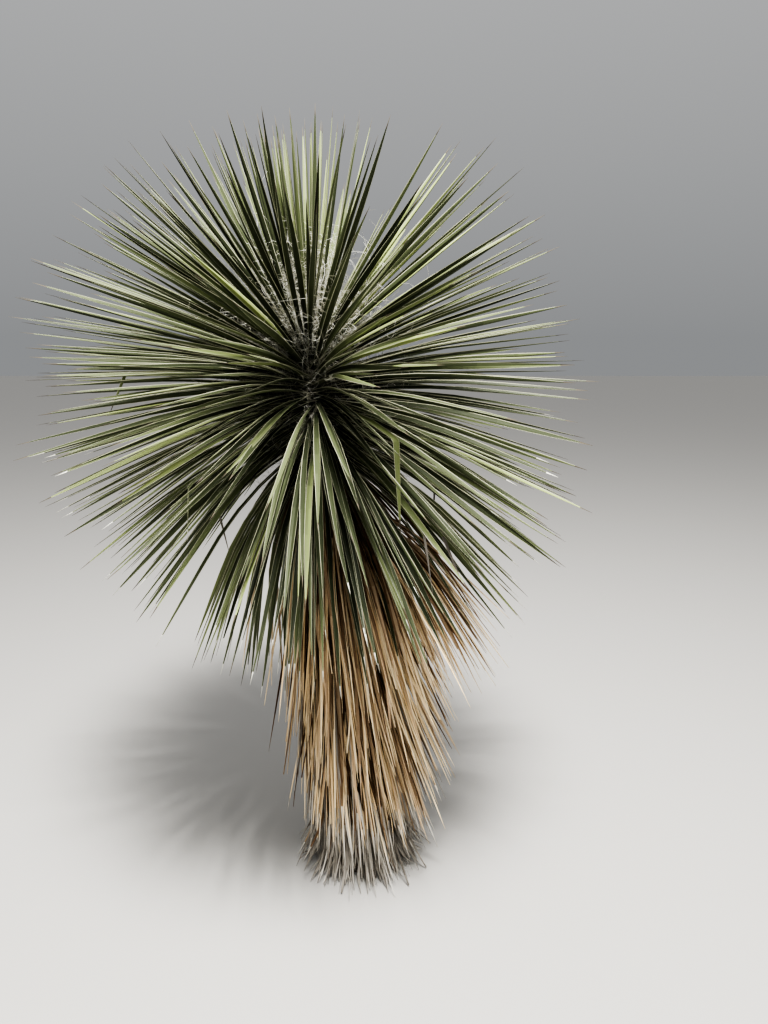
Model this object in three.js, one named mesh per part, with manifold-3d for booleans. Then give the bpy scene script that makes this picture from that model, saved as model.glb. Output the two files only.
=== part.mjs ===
// Soaptree yucca: one round head of stiff narrow leaves on a short leaning trunk, which is
// wrapped in a skirt of its own dead leaves and has a grey, worn collar of them at the foot.
//
// Millimetres and degrees, +Z up, the ground at Z = 0, the origin in the middle of the foot.
// The plant's front looks along -Y. An azimuth is counted from the front towards +X.
// Every leaf lies in an upright plane through the stem, and the leaves follow one rule from
// the tip of the stem to its foot: the lower a leaf is rooted, the lower it points. Their
// paths fan out from each other, so each mass of leaves keeps to a space of its own, bounded
// by two such paths, above and below, and by two upright planes, left and right.

import * as THREE from 'three';
import { mergeVertices } from 'three/addons/utils/BufferGeometryUtils.js';
import Module from 'manifold-3d';

const wasm = await Module();
wasm.setup();

// Clearances: between touching pieces, at the seams of the sectors, and round the leaves
const GAP = 0.3;
const SEAM_ANGLE = 0.3;
const LIMIT_MARGIN = 0.6;
const SEAM_MARGIN = 0.3;

// Trunk: [radius, height] from the root flare to the tip, and its lean to the left, in
// millimetres for each millimetre of height, which grows where the crown begins
const TRUNK_PROFILE = [
  [105, 0], [87, 60], [76, 160], [66, 400], [59, 800],
  [53, 1200], [46, 1400], [38, 1480], [24, 1520],
];
const TRUNK_TIP = 1520;
const TRUNK_SIDES = 16;
const BEND_HEIGHT = 1200;
const LOWER_LEAN = 0.08;
const CROWN_LEAN = 0.13;

// Green leaves: their roots, from the youngest at the tip of the stem to the oldest, the sine
// of their rise there, and how both go with age, which runs from 0 to 1
const YOUNGEST_ROOT = 1530;
const OLDEST_ROOT = 1200;
const ROOT_SPREAD = 1.4;
const YOUNGEST_RISE_SINE = 0.999;
const OLDEST_RISE_SINE = -0.95;
const RISE_SPREAD = 0.9;

// Green leaves: length at mid height, and what the youngest and the oldest lack of it, which
// sets in at a rise and is whole at another
const GREEN_LENGTH = 697;
const YOUNG_SHORTENING = 165;
const YOUNG_RISES = [10, 89];
const OLD_SHORTENING = 105;
const OLD_RISES = [0, -68];

// Green leaves: how much one bends down from its root to its tip, by its rise, and the shares
// of that bend by which its first stretch, its middle and its outer stretch leave its line
const BENT_RISES = [60, -68];
const LARGEST_DROOP = 26;
const DROOP_SPREAD = 1.2;
const TWICE_BENT_DROOP = 13;
const FIRST_LIFT = 0.75;
const MIDDLE_LIFT = 0.2;
const OUTER_LIFT = -0.45;
const FLARING_AGE = 0.7;

// Spear: the youngest leaves, on a cap over the tip of the trunk
const SPEAR_AGE = 0.07;
const SPEAR_LEAVES = 28;
const SPEAR_TILT = 0.7;
const SPEAR_TOP = 1562;
const SPEAR_SHOULDER = [25, 1558];
const SPEAR_RIM = 46;
const SPEAR_LENGTH = [560, 610];
const SPEAR_RISE = [88, 66];
const SPEAR_ROOT_OUT = [4, 26];
const SPEAR_ROOT_ABOVE_TIP = [16, 6];

// Dead leaves: they leave the trunk on a short slope and then hang, [degrees off the vertical,
// height of the root]. The skirt fans out more on the right than on the left.
const SKIRT_TOP = 1188;
const SKIRT_MIDDLE = 780;
const COLLAR_TOP = 330;
const COLLAR_LOWEST_ROOT = 120;
const COLLAR_FOOT = 36;
const DEAD_LENGTH = 530;
const LOWEST_TIP = 6;
const DEAD_KNEE_OUT = 32;
const DEAD_KNEE_DOWN = 56;
const HANG_ANGLE = [[5, 100], [6, 200], [8, 400], [11, 600], [18, 900], [18, 1200]];
const EVEN_FLARE = 0.78;
const SIDE_FLARE = 0.42;
const GREEN_SIDE_FLARE = 0.25;
const FLARE_HEIGHTS = [300, 800];

// Blades, at their widest and thickest: flat above, with a keel below
const BLADE_SIDES = 3;
const HALF_WIDTH = 8.5;
const SPEAR_HALF_WIDTH = 7;
const GREEN_THICKNESS = 7.8;
const DEAD_THICKNESS = 5.8;
const GREEN_KNEE = 90;
const SPEAR_KNEE = 72;
const MIDDLE_SHARE = 0.3;
const ROOT_DEPTH = 5;
const NARROWING = 0.2;

// Cores of packed leaf bases, and how unevenly the leaves grow
const GREEN_CORE = 28;
const DEAD_CORE = 22;
const CORE_INSIDE = 0.8;
const CORE_STEPS = 18;
const AZIMUTH_SPREAD = 4;
const TILT_SPREAD = 3;
const TILT_TRIES = [1, 0.4, 0];
const TWIST_SPREAD = 28;
const LENGTH_SPREAD = 0.06;
const GOLDEN_ANGLE = 180 * (3 - Math.sqrt(5));
const SPEAR_SEED = 11;
const FIRST_TIER_SEED = 100;

// Masses: each tier lies between the paths of two leaves, given by age for green leaves and by
// root height for dead ones, and is split into equal sectors. Turn is the first one's middle.
const TIERS = [
  {
    name: 'crown_upper', kind: 'green', leaves: 84, sectors: 5, turn: 0,
    from: SPEAR_AGE, to: 0.28,
  },
  {
    name: 'crown_middle', kind: 'green', leaves: 98, sectors: 7, turn: 12,
    from: 0.28, to: 0.52,
  },
  {
    name: 'crown_lower', kind: 'green', leaves: 108, sectors: 7, turn: 30,
    from: 0.52, to: 0.78,
  },
  {
    name: 'crown_hanging', kind: 'green', leaves: 106, sectors: 6, turn: 5,
    from: 0.78, to: 1,
  },
  {
    name: 'skirt_upper', kind: 'dead', leaves: 80, sectors: 6, turn: 24,
    from: SKIRT_TOP, to: SKIRT_MIDDLE,
  },
  {
    name: 'skirt_lower', kind: 'dead', leaves: 60, sectors: 5, turn: 0,
    from: SKIRT_MIDDLE, to: COLLAR_TOP,
  },
  {
    name: 'collar', kind: 'grey', leaves: 36, sectors: 4, turn: 40,
    from: COLLAR_TOP, to: COLLAR_LOWEST_ROOT,
  },
];
const GREEN_INSET = 0.015;
const DEAD_INSET = 26;

// Finishes
const FINISHES = {
  trunk: { color: 0x7a6a57, roughness: 0.92, metalness: 0 },
  green: { color: 0x5c6b3a, roughness: 0.55, metalness: 0 },
  dead: { color: 0xb9935c, roughness: 0.8, metalness: 0 },
  grey: { color: 0x98907f, roughness: 0.9, metalness: 0 },
};

const { degToRad, radToDeg, clamp, lerp, smoothstep, euclideanModulo } = THREE.MathUtils;
const sine = (degrees) => Math.sin(degToRad(degrees));
const cosine = (degrees) => Math.cos(degToRad(degrees));

// The turn from one azimuth to another, between -180 and 180
const turnFrom = (start, azimuth) => euclideanModulo(azimuth - start + 180, 360) - 180;

// How far a value has come from the first of two others to the second, from 0 to 1
const shareOf = (value, [first, second]) => clamp((value - first) / (second - first), 0, 1);

// Seeded numbers from 0 to 1
function seededRandom(seed) {
  let state = seed >>> 0;
  return () => {
    state = (state + 0x6D2B79F5) >>> 0;
    let mixed = Math.imul(state ^ (state >>> 15), 1 | state);
    mixed = (mixed + Math.imul(mixed ^ (mixed >>> 7), 61 | mixed)) ^ mixed;
    return ((mixed ^ (mixed >>> 14)) >>> 0) / 4294967296;
  };
}

// A value read off a list of [value, height] pairs
function readProfile(profile, height) {
  const next = profile.findIndex((pair) => pair[1] >= height);
  if (next === 0) return profile[0][0];
  if (next === -1) return profile.at(-1)[0];
  const [low, lowHeight] = profile[next - 1];
  const [high, highHeight] = profile[next];
  return lerp(low, high, (height - lowHeight) / (highHeight - lowHeight));
}

const trunkRadius = (height) => readProfile(TRUNK_PROFILE, height);

// Where the stem's middle is at a height: the skirt's line below, the crown's line above
const lowerAxis = (height) => -LOWER_LEAN * height;
const crownAxis = (height) => lowerAxis(BEND_HEIGHT) - CROWN_LEAN * (height - BEND_HEIGHT);
const stemAxis = (height) => (height < BEND_HEIGHT ? lowerAxis(height) : crownAxis(height));

// How the leaves stand. Paths lie in the half-plane of the stem, as lists of [out, height].

function stretch(start, rise, length) {
  return [start[0] + length * cosine(rise), start[1] + length * sine(rise)];
}

function greenLeaf(age, azimuth, tilt, lengthFactor) {
  const riseSine = lerp(YOUNGEST_RISE_SINE, OLDEST_RISE_SINE, age ** RISE_SPREAD);
  const rise = radToDeg(Math.asin(riseSine));
  const height = lerp(YOUNGEST_ROOT, OLDEST_ROOT, age ** ROOT_SPREAD);
  const droop = LARGEST_DROOP * shareOf(rise, BENT_RISES) ** DROOP_SPREAD;
  const young = shareOf(rise, YOUNG_RISES) ** 2;
  const old = shareOf(rise, OLD_RISES) ** 1.5;
  const fullLength = GREEN_LENGTH - YOUNG_SHORTENING * young - OLD_SHORTENING * old;
  const length = fullLength * lengthFactor;
  const flaring = smoothstep(age, FLARING_AGE, 1);
  const flare = 1 + GREEN_SIDE_FLARE * Math.max(0, sine(azimuth)) * flaring;
  const blade = -90 + (90 + rise) * flare + tilt;
  const root = [trunkRadius(height) + ROOT_DEPTH, height];
  const knee = stretch(root, rise + FIRST_LIFT * droop + tilt / 2, GREEN_KNEE);
  const middle = stretch(knee, blade + MIDDLE_LIFT * droop, MIDDLE_SHARE * length);
  const rest = (1 - MIDDLE_SHARE) * length - GREEN_KNEE;
  const tip = stretch(middle, blade + OUTER_LIFT * droop, rest);
  return droop > TWICE_BENT_DROOP ? [root, knee, middle, tip] : [root, knee, tip];
}

// The share of a spear leaf goes from 0 in the middle of the cap to 1 at its rim
function spearLeaf(share, tilt, lengthFactor) {
  const out = lerp(...SPEAR_ROOT_OUT, Math.sqrt(share));
  const root = [out, TRUNK_TIP + lerp(...SPEAR_ROOT_ABOVE_TIP, share)];
  const rise = lerp(...SPEAR_RISE, share) + tilt;
  const length = lerp(...SPEAR_LENGTH, share) * lengthFactor;
  const knee = stretch(root, rise, SPEAR_KNEE);
  return [root, knee, stretch(knee, rise, length - SPEAR_KNEE)];
}

function deadLeaf(height, azimuth, tilt, lengthFactor) {
  const sideways = EVEN_FLARE + SIDE_FLARE * sine(azimuth);
  const flare = lerp(1, sideways, smoothstep(height, ...FLARE_HEIGHTS));
  const hang = readProfile(HANG_ANGLE, height) * flare + tilt;
  const root = [trunkRadius(height) + ROOT_DEPTH, height];
  const kneeHeight = height - DEAD_KNEE_DOWN;
  const knee = [trunkRadius(kneeHeight) + DEAD_KNEE_OUT, kneeHeight];
  const room = (kneeHeight - LOWEST_TIP) / cosine(hang);
  return [root, knee, stretch(knee, hang - 90, Math.min(DEAD_LENGTH * lengthFactor, room))];
}

// How far a place lies above a path. The path's last stretch is taken to run on for ever.
function heightAbove(path, [out, height]) {
  let nearest = Infinity;
  let side = 1;
  for (let k = 0; k < path.length - 1; k++) {
    const [fromOut, fromHeight] = path[k];
    const alongOut = path[k + 1][0] - fromOut;
    const alongHeight = path[k + 1][1] - fromHeight;
    const square = alongOut ** 2 + alongHeight ** 2;
    const reach = ((out - fromOut) * alongOut + (height - fromHeight) * alongHeight) / square;
    const start = k === 0 ? -Infinity : 0;
    const end = k === path.length - 2 ? Infinity : 1;
    const share = clamp(reach, start, end);
    const offOut = out - fromOut - share * alongOut;
    const offHeight = height - fromHeight - share * alongHeight;
    const distance = Math.hypot(offOut, offHeight);
    if (distance < nearest) {
      nearest = distance;
      side = alongOut * offHeight - alongHeight * offOut < 0 ? -1 : 1;
    }
  }
  return nearest * side;
}

// Solids

// A closed geometry as a solid, with its faces turned out and no face of zero size
function toSolid(geometry) {
  geometry.deleteAttribute('normal');
  geometry.deleteAttribute('uv');
  const merged = mergeVertices(geometry, 1e-3);
  const corners = merged.index.array;
  const faces = [];
  for (let k = 0; k < corners.length; k += 3) {
    const [a, b, c] = corners.slice(k, k + 3);
    if (a !== b && b !== c && c !== a) faces.push([a, b, c]);
  }
  const build = (list) => new wasm.Manifold(new wasm.Mesh({
    numProp: 3,
    vertProperties: Float32Array.from(merged.attributes.position.array),
    triVerts: Uint32Array.from(list.flat()),
  }));
  const solid = build(faces);
  return solid.volume() > 0 ? solid : build(faces.map(([a, b, c]) => [a, c, b]));
}

// A solid as a geometry again, set about the place of the group that holds it
function toGeometry(solid, seat) {
  const mesh = solid.getMesh();
  const geometry = new THREE.BufferGeometry();
  geometry.setAttribute('position', new THREE.BufferAttribute(mesh.vertProperties, 3));
  geometry.setIndex(new THREE.BufferAttribute(mesh.triVerts, 1));
  geometry.translate(-seat.x, -seat.y, -seat.z);
  geometry.computeVertexNormals();
  return geometry;
}

// LatheGeometry turns about Y from +Z towards +X: this stands it up, front first, and leans it
function standUp(geometry, axis) {
  const spots = geometry.attributes.position;
  for (let k = 0; k < spots.count; k++) {
    const height = spots.getY(k);
    spots.setXYZ(k, spots.getX(k) + axis(height), -spots.getZ(k), height);
  }
  return geometry;
}

// An outline that starts and ends on the stem's line, turned through the full circle
function fullTurn(outline, steps, axis) {
  const points = outline.map(([out, height]) => new THREE.Vector2(out, height));
  return toSolid(standUp(new THREE.LatheGeometry(points, steps), axis));
}

// A closed outline in the half-plane of the stem, turned through a sector, with both ends shut
function ringSector(outline, from, to, steps, axis) {
  const closed = [...outline, outline[0]].map(([out, height]) => new THREE.Vector2(out, height));
  const start = degToRad(from);
  const lathe = new THREE.LatheGeometry(closed, steps, start, degToRad(to) - start);
  const faces = Array.from(lathe.index.array);
  const lastColumn = steps * closed.length;
  for (let k = 1; k < outline.length - 1; k++) {
    faces.push(0, k, k + 1);
    faces.push(lastColumn, lastColumn + k + 1, lastColumn + k);
  }
  lathe.setIndex(faces);
  return toSolid(standUp(lathe, axis));
}

// The trunk as it is, and the room it takes with a clearance all round
function trunkSolid() {
  return fullTurn([[0, 0], ...TRUNK_PROFILE, [0, TRUNK_TIP]], TRUNK_SIDES, stemAxis);
}

function trunkRoomSolid() {
  const clearance = GAP / cosine(180 / TRUNK_SIDES);
  const wider = TRUNK_PROFILE.map(([radius, height]) => [radius + clearance, height]);
  const [foot, top] = [-clearance, TRUNK_TIP + clearance];
  const outline = [[0, foot], [wider[0][0], foot], ...wider, [wider.at(-1)[0], top], [0, top]];
  return fullTurn(outline, TRUNK_SIDES, stemAxis);
}

// The rings of a blade on a path, turned about its own length by a twist. Each ring gives its
// middle, a vector across the blade and one down to its keel.
function bladeRings(path, azimuth, halfWidth, thickness, twist, axis) {
  const sideways = new THREE.Vector3(cosine(azimuth), sine(azimuth), 0);
  const last = path.length - 1;
  const across = halfWidth / sine(360 / BLADE_SIDES);
  const down = thickness / (1 - cosine(360 / BLADE_SIDES));
  return path.map(([out, height], k) => {
    const before = path[Math.max(0, k - 1)];
    const after = path[Math.min(last, k + 1)];
    const run = new THREE.Vector2(after[0] - before[0], after[1] - before[1]).normalize();
    const under = new THREE.Vector3(run.y * sine(azimuth), -run.y * cosine(azimuth), -run.x);
    const size = k % last === 0 ? 0 : 1 - NARROWING * (k - 1);
    return {
      middle: new THREE.Vector3(
        out * sine(azimuth) + axis(height),
        -out * cosine(azimuth),
        height,
      ),
      across: sideways.clone().multiplyScalar(cosine(twist) * across * size)
        .addScaledVector(under, sine(twist) * across * size),
      keel: under.clone().multiplyScalar(cosine(twist) * down * size)
        .addScaledVector(sideways, -sine(twist) * down * size),
    };
  });
}

// A blade: a three-sided lathe, pointed at root and tip, drawn out along its rings
function bladeSolid(rings) {
  const last = rings.length - 1;
  const outline = rings.map((ring, k) => new THREE.Vector2(k % last === 0 ? 0 : 1, k));
  const blade = new THREE.LatheGeometry(outline, BLADE_SIDES);
  const spots = blade.attributes.position;
  for (let k = 0; k < spots.count; k++) {
    const ring = rings[Math.round(spots.getY(k))];
    const spot = ring.middle.clone();
    spot.addScaledVector(ring.across, spots.getX(k));
    spot.addScaledVector(ring.keel, spots.getZ(k));
    spots.setXYZ(k, spot.x, spot.y, spot.z);
  }
  return toSolid(blade);
}

// Spots along the edges of a blade
const EDGE_SHARES = [0, 0.08, 0.2, 0.5, 1];

function* edgeSpots(rings) {
  for (let k = 0; k < rings.length - 1; k++) {
    for (const share of EDGE_SHARES) {
      for (let side = 0; side < BLADE_SIDES; side++) {
        const angle = side * 360 / BLADE_SIDES;
        const [start, end] = [rings[k], rings[k + 1]].map((ring) => ring.middle.clone()
          .addScaledVector(ring.across, sine(angle))
          .addScaledVector(ring.keel, cosine(angle)));
        yield start.lerp(end, share);
      }
    }
  }
}

// Whether a blade keeps clear of the limits of its mass, above, below, left and right
function staysInside(rings, azimuth, space, axis) {
  const above = space.above?.(azimuth);
  const below = space.below?.(azimuth);
  for (const spot of edgeSpots(rings)) {
    const east = spot.x - axis(spot.z);
    const out = Math.hypot(east, spot.y);
    if (above && heightAbove(above, [out, spot.z]) > -LIMIT_MARGIN) return false;
    if (below && heightAbove(below, [out, spot.z]) < LIMIT_MARGIN) return false;
    const heading = radToDeg(Math.atan2(east, -spot.y));
    const toSeam = space.half - Math.abs(turnFrom(space.middle, heading));
    if (out * sine(Math.min(90, toSeam)) < SEAM_MARGIN) return false;
  }
  return true;
}

// Moves an azimuth off the seams of its sector, as far as the blade is wide at its knee
function offTheSeam(azimuth, space, path, halfWidth) {
  const turn = turnFrom(space.middle, azimuth);
  const need = radToDeg(Math.asin((halfWidth + LIMIT_MARGIN) / path[1][0]));
  return space.middle + clamp(turn, need - space.half, space.half - need);
}

// Fuses blades to a core and cuts the whole clear of the trunk
function fuse(core, blades) {
  const whole = wasm.Manifold.union([core, ...blades]).subtract(trunkRoom);
  const bodies = whole.decompose();
  return bodies.reduce((best, body) => (body.volume() > best.volume() ? body : best));
}

// The packed leaf bases of one mass: a ring sector between its two limits. Flat facets stand
// in for the round limits, so both sides draw back by as much as a facet's middle lies off.
function coreSolid(tier, space, axis) {
  const thickness = tier.kind === 'green' ? GREEN_CORE : DEAD_CORE;
  const edgeOf = (limit, side) => {
    const [root, knee] = limit(space.middle);
    const radius = trunkRadius(root[1]);
    const slope = (knee[1] - root[1]) / (knee[0] - root[0]);
    const flatness = (radius + thickness) * (1 - cosine(180 / CORE_STEPS));
    const lift = side * (GAP * Math.hypot(1, slope) + flatness * Math.abs(slope)) / 2;
    const spot = (out) => [out, root[1] + slope * (out - root[0]) + lift];
    return [spot(radius * CORE_INSIDE), spot(radius + thickness)];
  };
  const footRadius = trunkRadius(COLLAR_FOOT);
  const foot = [footRadius * CORE_INSIDE, footRadius + thickness].map((out) => [out, COLLAR_FOOT]);
  const [inTop, outTop] = edgeOf(space.above, -1);
  const [inLow, outLow] = space.below ? edgeOf(space.below, 1) : foot;
  const steps = Math.ceil(CORE_STEPS * space.half / 180);
  const from = space.middle - space.half + SEAM_ANGLE;
  const to = space.middle + space.half - SEAM_ANGLE;
  return ringSector([inTop, outTop, outLow, inLow], from, to, steps, axis);
}

// The leaves of a tier in the order of the golden angle, each with its share of the way down
function* leafOrder(count, seed) {
  const random = seededRandom(seed);
  const either = () => random() * 2 - 1;
  const start = 360 * random();
  for (let k = 0; k < count; k++) {
    yield {
      share: (k + 0.5) / count,
      azimuth: start + k * GOLDEN_ANGLE + AZIMUTH_SPREAD * either(),
      tilt: TILT_SPREAD * either(),
      lengthFactor: 1 + LENGTH_SPREAD * either(),
      twist: TWIST_SPREAD * either(),
    };
  }
}

// The masses of one tier. A leaf that would leave its space is tried with less tilt, and is
// left out if it still would.
function tierSolids(tier, seed) {
  const green = tier.kind === 'green';
  const axis = green ? crownAxis : lowerAxis;
  const leafPath = green ? greenLeaf : deadLeaf;
  const thickness = green ? GREEN_THICKNESS : DEAD_THICKNESS;
  const limitAt = (place) => (azimuth) => leafPath(place, azimuth, 0, 1);
  const width = 360 / tier.sectors;
  const spaces = Array.from({ length: tier.sectors }, (_, k) => ({
    middle: tier.turn + k * width,
    half: width / 2,
    above: limitAt(tier.from),
    below: tier.kind === 'grey' ? null : limitAt(tier.to),
    blades: [],
  }));
  const inset = Math.sign(tier.to - tier.from) * (green ? GREEN_INSET : DEAD_INSET);
  const last = tier.kind === 'grey' ? tier.to : tier.to - inset;
  for (const leaf of leafOrder(tier.leaves, seed)) {
    const turn = euclideanModulo(leaf.azimuth - tier.turn + width / 2, 360);
    const space = spaces[Math.floor(turn / width)];
    const place = lerp(tier.from + inset, last, leaf.share);
    for (const tilt of TILT_TRIES.map((part) => part * leaf.tilt)) {
      const freePath = leafPath(place, leaf.azimuth, tilt, leaf.lengthFactor);
      const azimuth = offTheSeam(leaf.azimuth, space, freePath, HALF_WIDTH);
      const path = leafPath(place, azimuth, tilt, leaf.lengthFactor);
      const rings = bladeRings(path, azimuth, HALF_WIDTH, thickness, leaf.twist, axis);
      if (staysInside(rings, azimuth, space, axis)) {
        space.blades.push(bladeSolid(rings));
        break;
      }
    }
  }
  return spaces.map((space) => fuse(coreSolid(tier, space, axis), space.blades));
}

// The central spear: a cap over the tip of the trunk with the youngest leaves on it
function spearSolid(seed) {
  const space = { middle: 0, half: 181, below: (azimuth) => greenLeaf(SPEAR_AGE, azimuth, 0, 1) };
  const [root, knee] = space.below(0);
  const slope = (knee[1] - root[1]) / (knee[0] - root[0]);
  const onLimit = (out) => root[1] + slope * (out - root[0]) + GAP * Math.hypot(1, slope);
  const outline = [
    [0, SPEAR_TOP],
    SPEAR_SHOULDER,
    [SPEAR_RIM, onLimit(SPEAR_RIM)],
    [0, onLimit(0)],
  ];
  const blades = [];
  for (const leaf of leafOrder(SPEAR_LEAVES, seed)) {
    const path = spearLeaf(leaf.share, leaf.tilt * SPEAR_TILT, leaf.lengthFactor);
    const [width, thickness] = [SPEAR_HALF_WIDTH, GREEN_THICKNESS];
    const rings = bladeRings(path, leaf.azimuth, width, thickness, leaf.twist, crownAxis);
    if (staysInside(rings, leaf.azimuth, space, crownAxis)) blades.push(bladeSolid(rings));
  }
  return fuse(fullTurn(outline, TRUNK_SIDES, crownAxis), blades);
}

// The plant: each group stands at the place on the stem where its leaves begin
const plant = new THREE.Group();
const trunkRoom = trunkRoomSolid();

function addGroup(height) {
  const group = new THREE.Group();
  group.position.set(stemAxis(height), 0, height);
  plant.add(group);
  return group;
}

function addPiece(group, name, solid, kind) {
  const material = new THREE.MeshStandardMaterial(FINISHES[kind]);
  const piece = new THREE.Mesh(toGeometry(solid, group.position), material);
  piece.name = name;
  group.add(piece);
}

const crown = addGroup(BEND_HEIGHT);
const deadLeaves = addGroup(COLLAR_FOOT);
addPiece(plant, 'trunk', trunkSolid(), 'trunk');
addPiece(crown, 'spear', spearSolid(SPEAR_SEED), 'green');
TIERS.forEach((tier, order) => {
  const group = tier.kind === 'green' ? crown : deadLeaves;
  tierSolids(tier, FIRST_TIER_SEED + order).forEach((solid, k) => {
    addPiece(group, `${tier.name}_${k + 1}`, solid, tier.kind);
  });
});

export default plant;
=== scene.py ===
"""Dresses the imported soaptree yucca: green leaves, dead leaves, fibres, trunk and studio.

Metres and degrees, +Z up, the ground at Z = 0, the origin in the middle of the trunk's foot.
The plant's front looks along -Y. An azimuth is counted from the front towards +X. The leaves
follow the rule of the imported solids, written again here, with more and finer leaves.
"""

import math

import bpy
import numpy as np
from bpy.props import FloatProperty, FloatVectorProperty, IntProperty, PointerProperty
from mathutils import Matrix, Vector


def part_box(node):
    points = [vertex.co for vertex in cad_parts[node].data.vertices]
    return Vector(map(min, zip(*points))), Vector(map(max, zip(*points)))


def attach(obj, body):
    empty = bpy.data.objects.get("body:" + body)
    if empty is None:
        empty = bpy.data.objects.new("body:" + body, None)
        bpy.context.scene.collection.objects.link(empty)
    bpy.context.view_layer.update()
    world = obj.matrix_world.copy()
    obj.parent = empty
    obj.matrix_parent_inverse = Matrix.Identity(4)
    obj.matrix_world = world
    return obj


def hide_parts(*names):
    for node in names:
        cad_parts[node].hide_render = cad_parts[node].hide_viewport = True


bl_info = {
    "name": "Soaptree yucca",
    "version": (1, 0, 0),
    "blender": (4, 5, 0),
    "location": "3D View > Sidebar > Yucca",
    "description": "Leaves, skirt, fibres, trunk and studio of a soaptree yucca",
    "category": "Object",
}

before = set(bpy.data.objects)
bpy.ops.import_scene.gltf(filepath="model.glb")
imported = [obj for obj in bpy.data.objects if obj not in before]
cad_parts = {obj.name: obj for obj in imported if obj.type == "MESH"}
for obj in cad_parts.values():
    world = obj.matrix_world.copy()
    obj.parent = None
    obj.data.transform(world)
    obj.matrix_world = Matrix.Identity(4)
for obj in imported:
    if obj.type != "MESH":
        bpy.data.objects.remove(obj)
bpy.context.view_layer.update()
trunk_low, trunk_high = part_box("trunk")

BODY = "root"

# Seeds of the random draws
SEEDS = {
    "spear": 39, "crown_upper": 40, "crown_middle": 41, "crown_lower": 42, "crown_hanging": 43,
    "dry_fan": 44, "folded_leaves": 55, "fibres_inner": 61, "fibres_upper": 62,
    "fibres_outer": 63, "skirt_upper": 70, "skirt_lower": 71, "collar": 80,
}

# Trunk: [height, radius] from the root flare to the tip, and its lean to the left
FOOT_RADIUS = -trunk_low.y
TRUNK_TIP = trunk_high.z
TRUNK_PROFILE = [
    (0.0, FOOT_RADIUS), (0.06, 0.087), (0.16, 0.076), (0.4, 0.066), (0.8, 0.059),
    (1.2, 0.053), (1.4, 0.046), (1.48, 0.038), (TRUNK_TIP, 0.024),
]
BEND_HEIGHT = 1.2
LOWER_LEAN = 0.08
CROWN_LEAN = 0.13

# Green leaves: their roots and the sine of their rise there, by age from 0 to 1
YOUNGEST_ROOT = 1.53
OLDEST_ROOT = 1.2
ROOT_SPREAD = 1.4
YOUNGEST_RISE_SINE = 0.999
OLDEST_RISE_SINE = -0.95
RISE_SPREAD = 0.9

# Green leaves: length, by rise in degrees, and how they bend down from root to tip
GREEN_LENGTH = 0.697
YOUNG_SHORTENING = 0.165
YOUNG_RISES = (10, 89)
OLD_SHORTENING = 0.105
OLD_RISES = (0, -68)
OLD_SPREAD = 1.5
BENT_RISES = (60, -68)
LARGEST_DROOP = 26
DROOP_SPREAD = 1.2
FIRST_LIFT = 0.75
MIDDLE_LIFT = 0.2
OUTER_LIFT = -0.45
GREEN_KNEE = 0.09
MIDDLE_SHARE = 0.3
FLARING_AGE = 0.7
GREEN_SIDE_FLARE = 0.25

# Spear: the youngest leaves, over the tip of the trunk
SPEAR_AGE = 0.07
SPEAR_LENGTH = (0.56, 0.61)
SPEAR_RISE = (88, 66)
SPEAR_ROOT_OUT = (0.004, 0.026)
SPEAR_KNEE = 0.072

# Dead leaves: their roots, lengths and ends, and how far off the vertical they hang, by the
# height of their root and more to the right than to the left
SKIRT_TOP = 1.188
SKIRT_MIDDLE = 0.78
COLLAR_TOP = 0.33
COLLAR_LOWEST_ROOT = 0.12
DEAD_LENGTH = 0.53
SKIRT_ENDS = (0.05, 0.2)
LOWEST_TIP = 0.006
DEAD_KNEE_OUT = 0.032
DEAD_KNEE_DOWN = 0.056
HANG_ANGLE = [(0.1, 5), (0.2, 6), (0.4, 8), (0.6, 11), (0.9, 18), (1.2, 18)]
EVEN_FLARE = 0.78
SIDE_FLARE = 0.42
FLARE_HEIGHTS = (0.3, 0.8)

# The collar's flare: from which share of a leaf's hanging part, how far out at its tip, and how
# much more for each degree of tilt
FLARE_FROM = 0.5
FLARE_REACH = 0.022
FLARE_BY_TILT = 0.2

# How deep roots are sunk in the trunk, and the turn from each leaf to the next
ROOT_SINK = 0.008
GOLDEN_ANGLE = 180 * (3 - math.sqrt(5))

# Tiers of the crown: the ages of their leaves, their widths and tones, how crowded they stand
# and the share of their tips that is pale
TIERS = {
    "crown_upper": (SPEAR_AGE, 0.28),
    "crown_middle": (0.28, 0.52),
    "crown_lower": (0.52, 0.78),
    "crown_hanging": (0.78, 1.0),
}
TIER_WIDTHS = {
    "spear": 0.88, "crown_upper": 0.9, "crown_middle": 0.93, "crown_lower": 1.0,
    "crown_hanging": 1.04,
}
TIER_TONES = {
    "spear": 6.3, "crown_upper": 6.6, "crown_middle": 6.4, "crown_lower": 6.3,
    "crown_hanging": 6.4,
}
TIER_CROWDING = {"crown_hanging": 1.2}
PALE_TIPS = {"crown_lower": 0.2, "crown_hanging": 0.6}

# How green leaves vary: azimuth, tilt, length, sideways bend, turn at the root and more of it
# towards the tip, width and tone
AZIMUTH_SPREAD = 4
TILT_SPREAD = 3
SPEAR_TILT_SPREAD = 2.5
LENGTH_VARIES = (-0.1, 0.03)
BEND_SPREAD = 0.016
ROOT_TURN_SPREAD = 24
TIP_TURN_SPREAD = 42
SPEAR_TURN_SPREAD = 25
WIDTH_SPREAD = 0.12
WIDTH_ENDS = (0.72, 1.25)
TONE_SPREAD = 2.2
SPEAR_TONE_SPREAD = 2.0

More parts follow.
